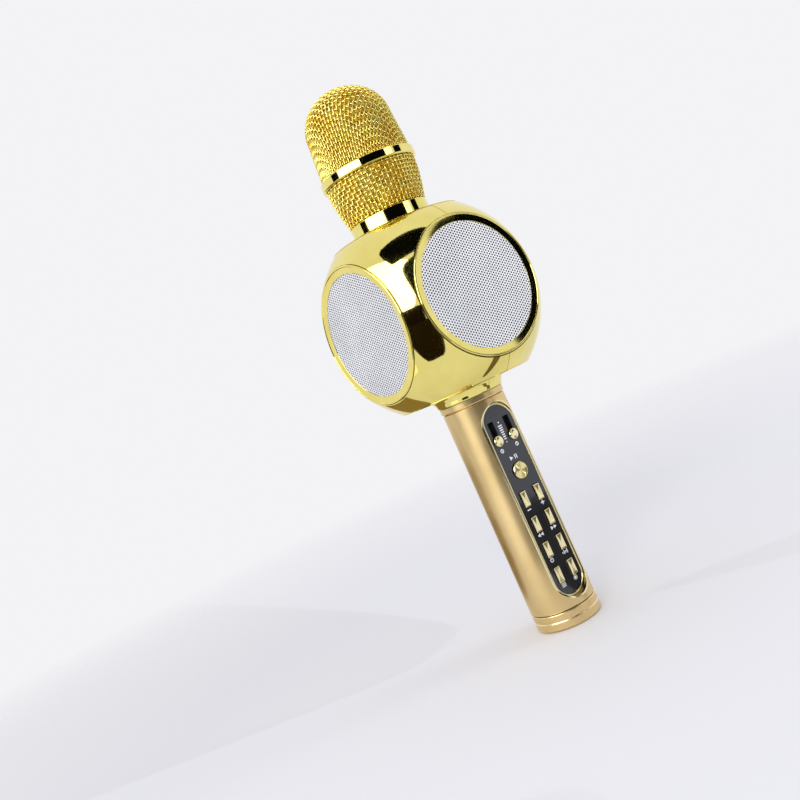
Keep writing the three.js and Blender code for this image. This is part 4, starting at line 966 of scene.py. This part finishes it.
for name, line, steps, finish, slot, node_name in (
        ("threaded_socket", SOCKET_LINE, 120, BLACK_ABS, "black_plastic", "grille_socket"),
        ("rubber_cup", CUP_LINE, 96, SILICONE, "silicone", "capsule_mount"),
        ("capsule_can", CAPSULE_LINE, 96, ZINC, "steel", "microphone_capsule")):
    make_piece(name, [lathe(line, steps)], finish, BODY, [node_name], crease=60)


# ------------------------------------------------------ camera, floor, light
CAMERA_PLACE = (-0.26827, -0.3564, 0.1336)  # metres
HEADING, TILT, ROLL = -32.98, 89.332, -24.313  # degrees: round +Z, up from straight down, about its own axis
LENS_MM, SENSOR_MM = 42.04, 36.0


def add_camera():
    """The camera: left of the front, level with the ball, and rolled so that the tube leans."""
    data = bpy.data.cameras.new("camera")
    data.sensor_width = SENSOR_MM
    data.lens = LENS_MM
    data.clip_start, data.clip_end = 0.01, 30.0
    camera = bpy.data.objects.new("camera", data)
    bpy.context.collection.objects.link(camera)
    heading, tilt, roll = [Matrix.Rotation(math.radians(degrees), 4, axis)
                           for degrees, axis in ((HEADING, "Z"), (TILT, "X"), (ROLL, "Z"))]
    camera.matrix_world = Matrix.Translation(Vector(CAMERA_PLACE)) @ (heading @ tilt) @ roll
    bpy.context.scene.camera = camera


def add_floor():
    """A pale round floor that fades into the pale surround, so that no horizon shows."""
    made = bpy.data.materials.new("pale_floor")
    made.use_nodes = True
    tree = made.node_tree
    shader = tree.nodes["Principled BSDF"]
    place = node(tree, "ShaderNodeTexCoord")
    flat = node(tree, "ShaderNodeMapping", [(place.outputs["Object"], "Vector")], Scale=(1.0, 1.0, 0.0))
    distance = node(tree, "ShaderNodeVectorMath", [(flat.outputs[0], 0)], operation="LENGTH")
    fade = node(tree, "ShaderNodeMapRange", [(distance.outputs["Value"], 0)],
                From_Min=0.25, From_Max=0.9, To_Min=1.0, To_Max=0.0)
    tree.links.new(fade.outputs[0], shader.inputs["Alpha"])
    shader.inputs["Base Color"].default_value = linear("#e0e0e5")
    shader.inputs["Roughness"].default_value = 0.8
    mesh = bpy.data.meshes.new("floor")
    size = 1.2
    corners = [(-size, -size, 0), (size, -size, 0), (size, size, 0), (-size, size, 0)]
    mesh.from_pydata(corners, [], [(0, 1, 2, 3)])
    mesh.materials.append(made)
    floor = bpy.data.objects.new("floor", mesh)
    bpy.context.collection.objects.link(floor)
    floor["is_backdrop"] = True


def card_material(name, colour, glow):
    """A plain matt sheet, with a glow of its own where it stands for a lamp."""
    made = bpy.data.materials.new(name)
    made.use_nodes = True
    shader = made.node_tree.nodes["Principled BSDF"]
    shader.inputs["Base Color"].default_value = linear(colour)
    shader.inputs["Roughness"].default_value = 1.0
    shader.inputs["Specular IOR Level"].default_value = 0.0
    shader.inputs["Emission Color"].default_value = linear(colour)
    shader.inputs["Emission Strength"].default_value = glow
    return made


def reflected_only(name, points, made):
    """A flat studio sheet that only reflections see: it doesn't show, shade or light anything directly."""
    mesh = bpy.data.meshes.new(name)
    mesh.from_pydata([tuple(p) for p in points], [], [tuple(range(len(points)))])
    mesh.materials.append(made)
    card = bpy.data.objects.new(name, mesh)
    bpy.context.collection.objects.link(card)
    card.visible_camera = card.visible_diffuse = card.visible_shadow = card.visible_transmission = False
    card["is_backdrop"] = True
    return card


def aimed(centre, way, axis):
    """A place that turns its axis along a direction."""
    return Matrix.Translation(centre) @ way.to_track_quat(axis, "Y").to_matrix().to_4x4()


def add_card(name, azimuth, elevation, width, height, distance, colour, glow=0.0):
    """A card that faces the ball, its corners rounded as a superellipse.

    Angles are in degrees, with azimuth 0 in front, and the distance in metres from the ball's centre.
    """
    a, e = math.radians(azimuth), math.radians(elevation)
    ball = Vector((0, 0, BALL_Z * MM))
    way = Vector((math.sin(a) * math.cos(e), -math.cos(a) * math.cos(e), math.sin(e)))
    w, h = [distance * math.tan(math.radians(size / 2)) for size in (width, height)]
    turn = np.linspace(0, 2 * math.pi, 48, endpoint=False)
    x, y = [np.sign(f(turn)) * np.abs(f(turn)) ** 0.3 for f in (np.cos, np.sin)]
    card = reflected_only(name, np.stack([w * x, h * y, 0 * x], -1), card_material(name, colour, glow))
    card.matrix_world = aimed(ball + way * distance, way, "Z")


def add_mat(name, start, end, near, far, colour, glow=0.0):
    """A mat on the floor between two azimuths in degrees and two distances in metres, its corners rounded."""
    turn = np.linspace(0, 2 * math.pi, 64, endpoint=False)
    along, out = [np.sign(f(turn)) * np.abs(f(turn)) ** 0.4 for f in (np.cos, np.sin)]
    a = np.radians((start + end) / 2 + (end - start) / 2 * along)
    r = (near + far) / 2 + (far - near) / 2 * out
    points = np.stack([r * np.sin(a), -r * np.cos(a), 0 * a + 0.0005], -1)
    reflected_only(name, points, card_material(name, colour, glow))


def add_light(name, centre, size, power, aim=(0, 0, 0.15)):
    """A rectangular soft light, its size in metres and its power in watts, that reflections don't see."""
    data = bpy.data.lights.new(name, "AREA")
    data.shape = "RECTANGLE"
    data.size, data.size_y = size
    data.energy = power
    light = bpy.data.objects.new(name, data)
    bpy.context.collection.objects.link(light)
    light.visible_glossy = False
    light.matrix_world = aimed(Vector(centre), Vector(aim) - Vector(centre), "-Z")


def add_surround():
    """An even pale surround, which gives most of the light."""
    world = bpy.data.worlds.new("pale_surround")
    world.use_nodes = True
    bpy.context.scene.world = world
    back = world.node_tree.nodes["Background"]
    back.inputs["Color"].default_value = linear("#f3f3f6")
    back.inputs["Strength"].default_value = 1.0


add_camera()
add_floor()
add_surround()
add_light("key_softbox", (-0.9, -0.7, 0.8), (0.5, 0.5), 4.5)
add_light("side_softbox", (0.8, -0.6, 0.5), (0.4, 0.6), 2.0)
add_card("bright_window", -75, 32, 58, 54, 1.2, "#ffffff", 3.2)
add_card("dark_front", -15, 16, 58, 76, 0.9, "#08090a")
add_card("dark_beside_ring", 29, 0, 13, 25, 0.35, "#08090a")
add_card("dark_above_ring", 37, -3, 7, 10, 0.35, "#08090a")
add_card("dark_overhead", -25, 70, 44, 26, 0.9, "#08090a")
add_card("white_gap", 24, 18, 16, 18, 1.3, "#ffffff", 1.6)
add_card("dark_strip_right", 47, 23, 18, 20, 0.35, "#08090a")
add_card("dark_strip_left", -116, 12, 20, 34, 1.1, "#08090a")
add_card("dark_low", -56, -2, 24, 16, 0.8, "#17110a")
add_mat("bright_mat", -112, -76, 0.15, 1.0, "#ffffff", 0.12)
add_mat("brown_mat", -70, -36, 0.16, 1.0, "#1d150b")
add_mat("dark_mat", 30, 45, 0.04, 0.38, "#6b6048")
add_mat("brown_mat_left", -185, -135, 0.08, 1.0, "#8a7650")
bpy.context.scene.view_settings.view_transform = "Standard"  # whites stay white and gold keeps its yellow

low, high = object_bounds()
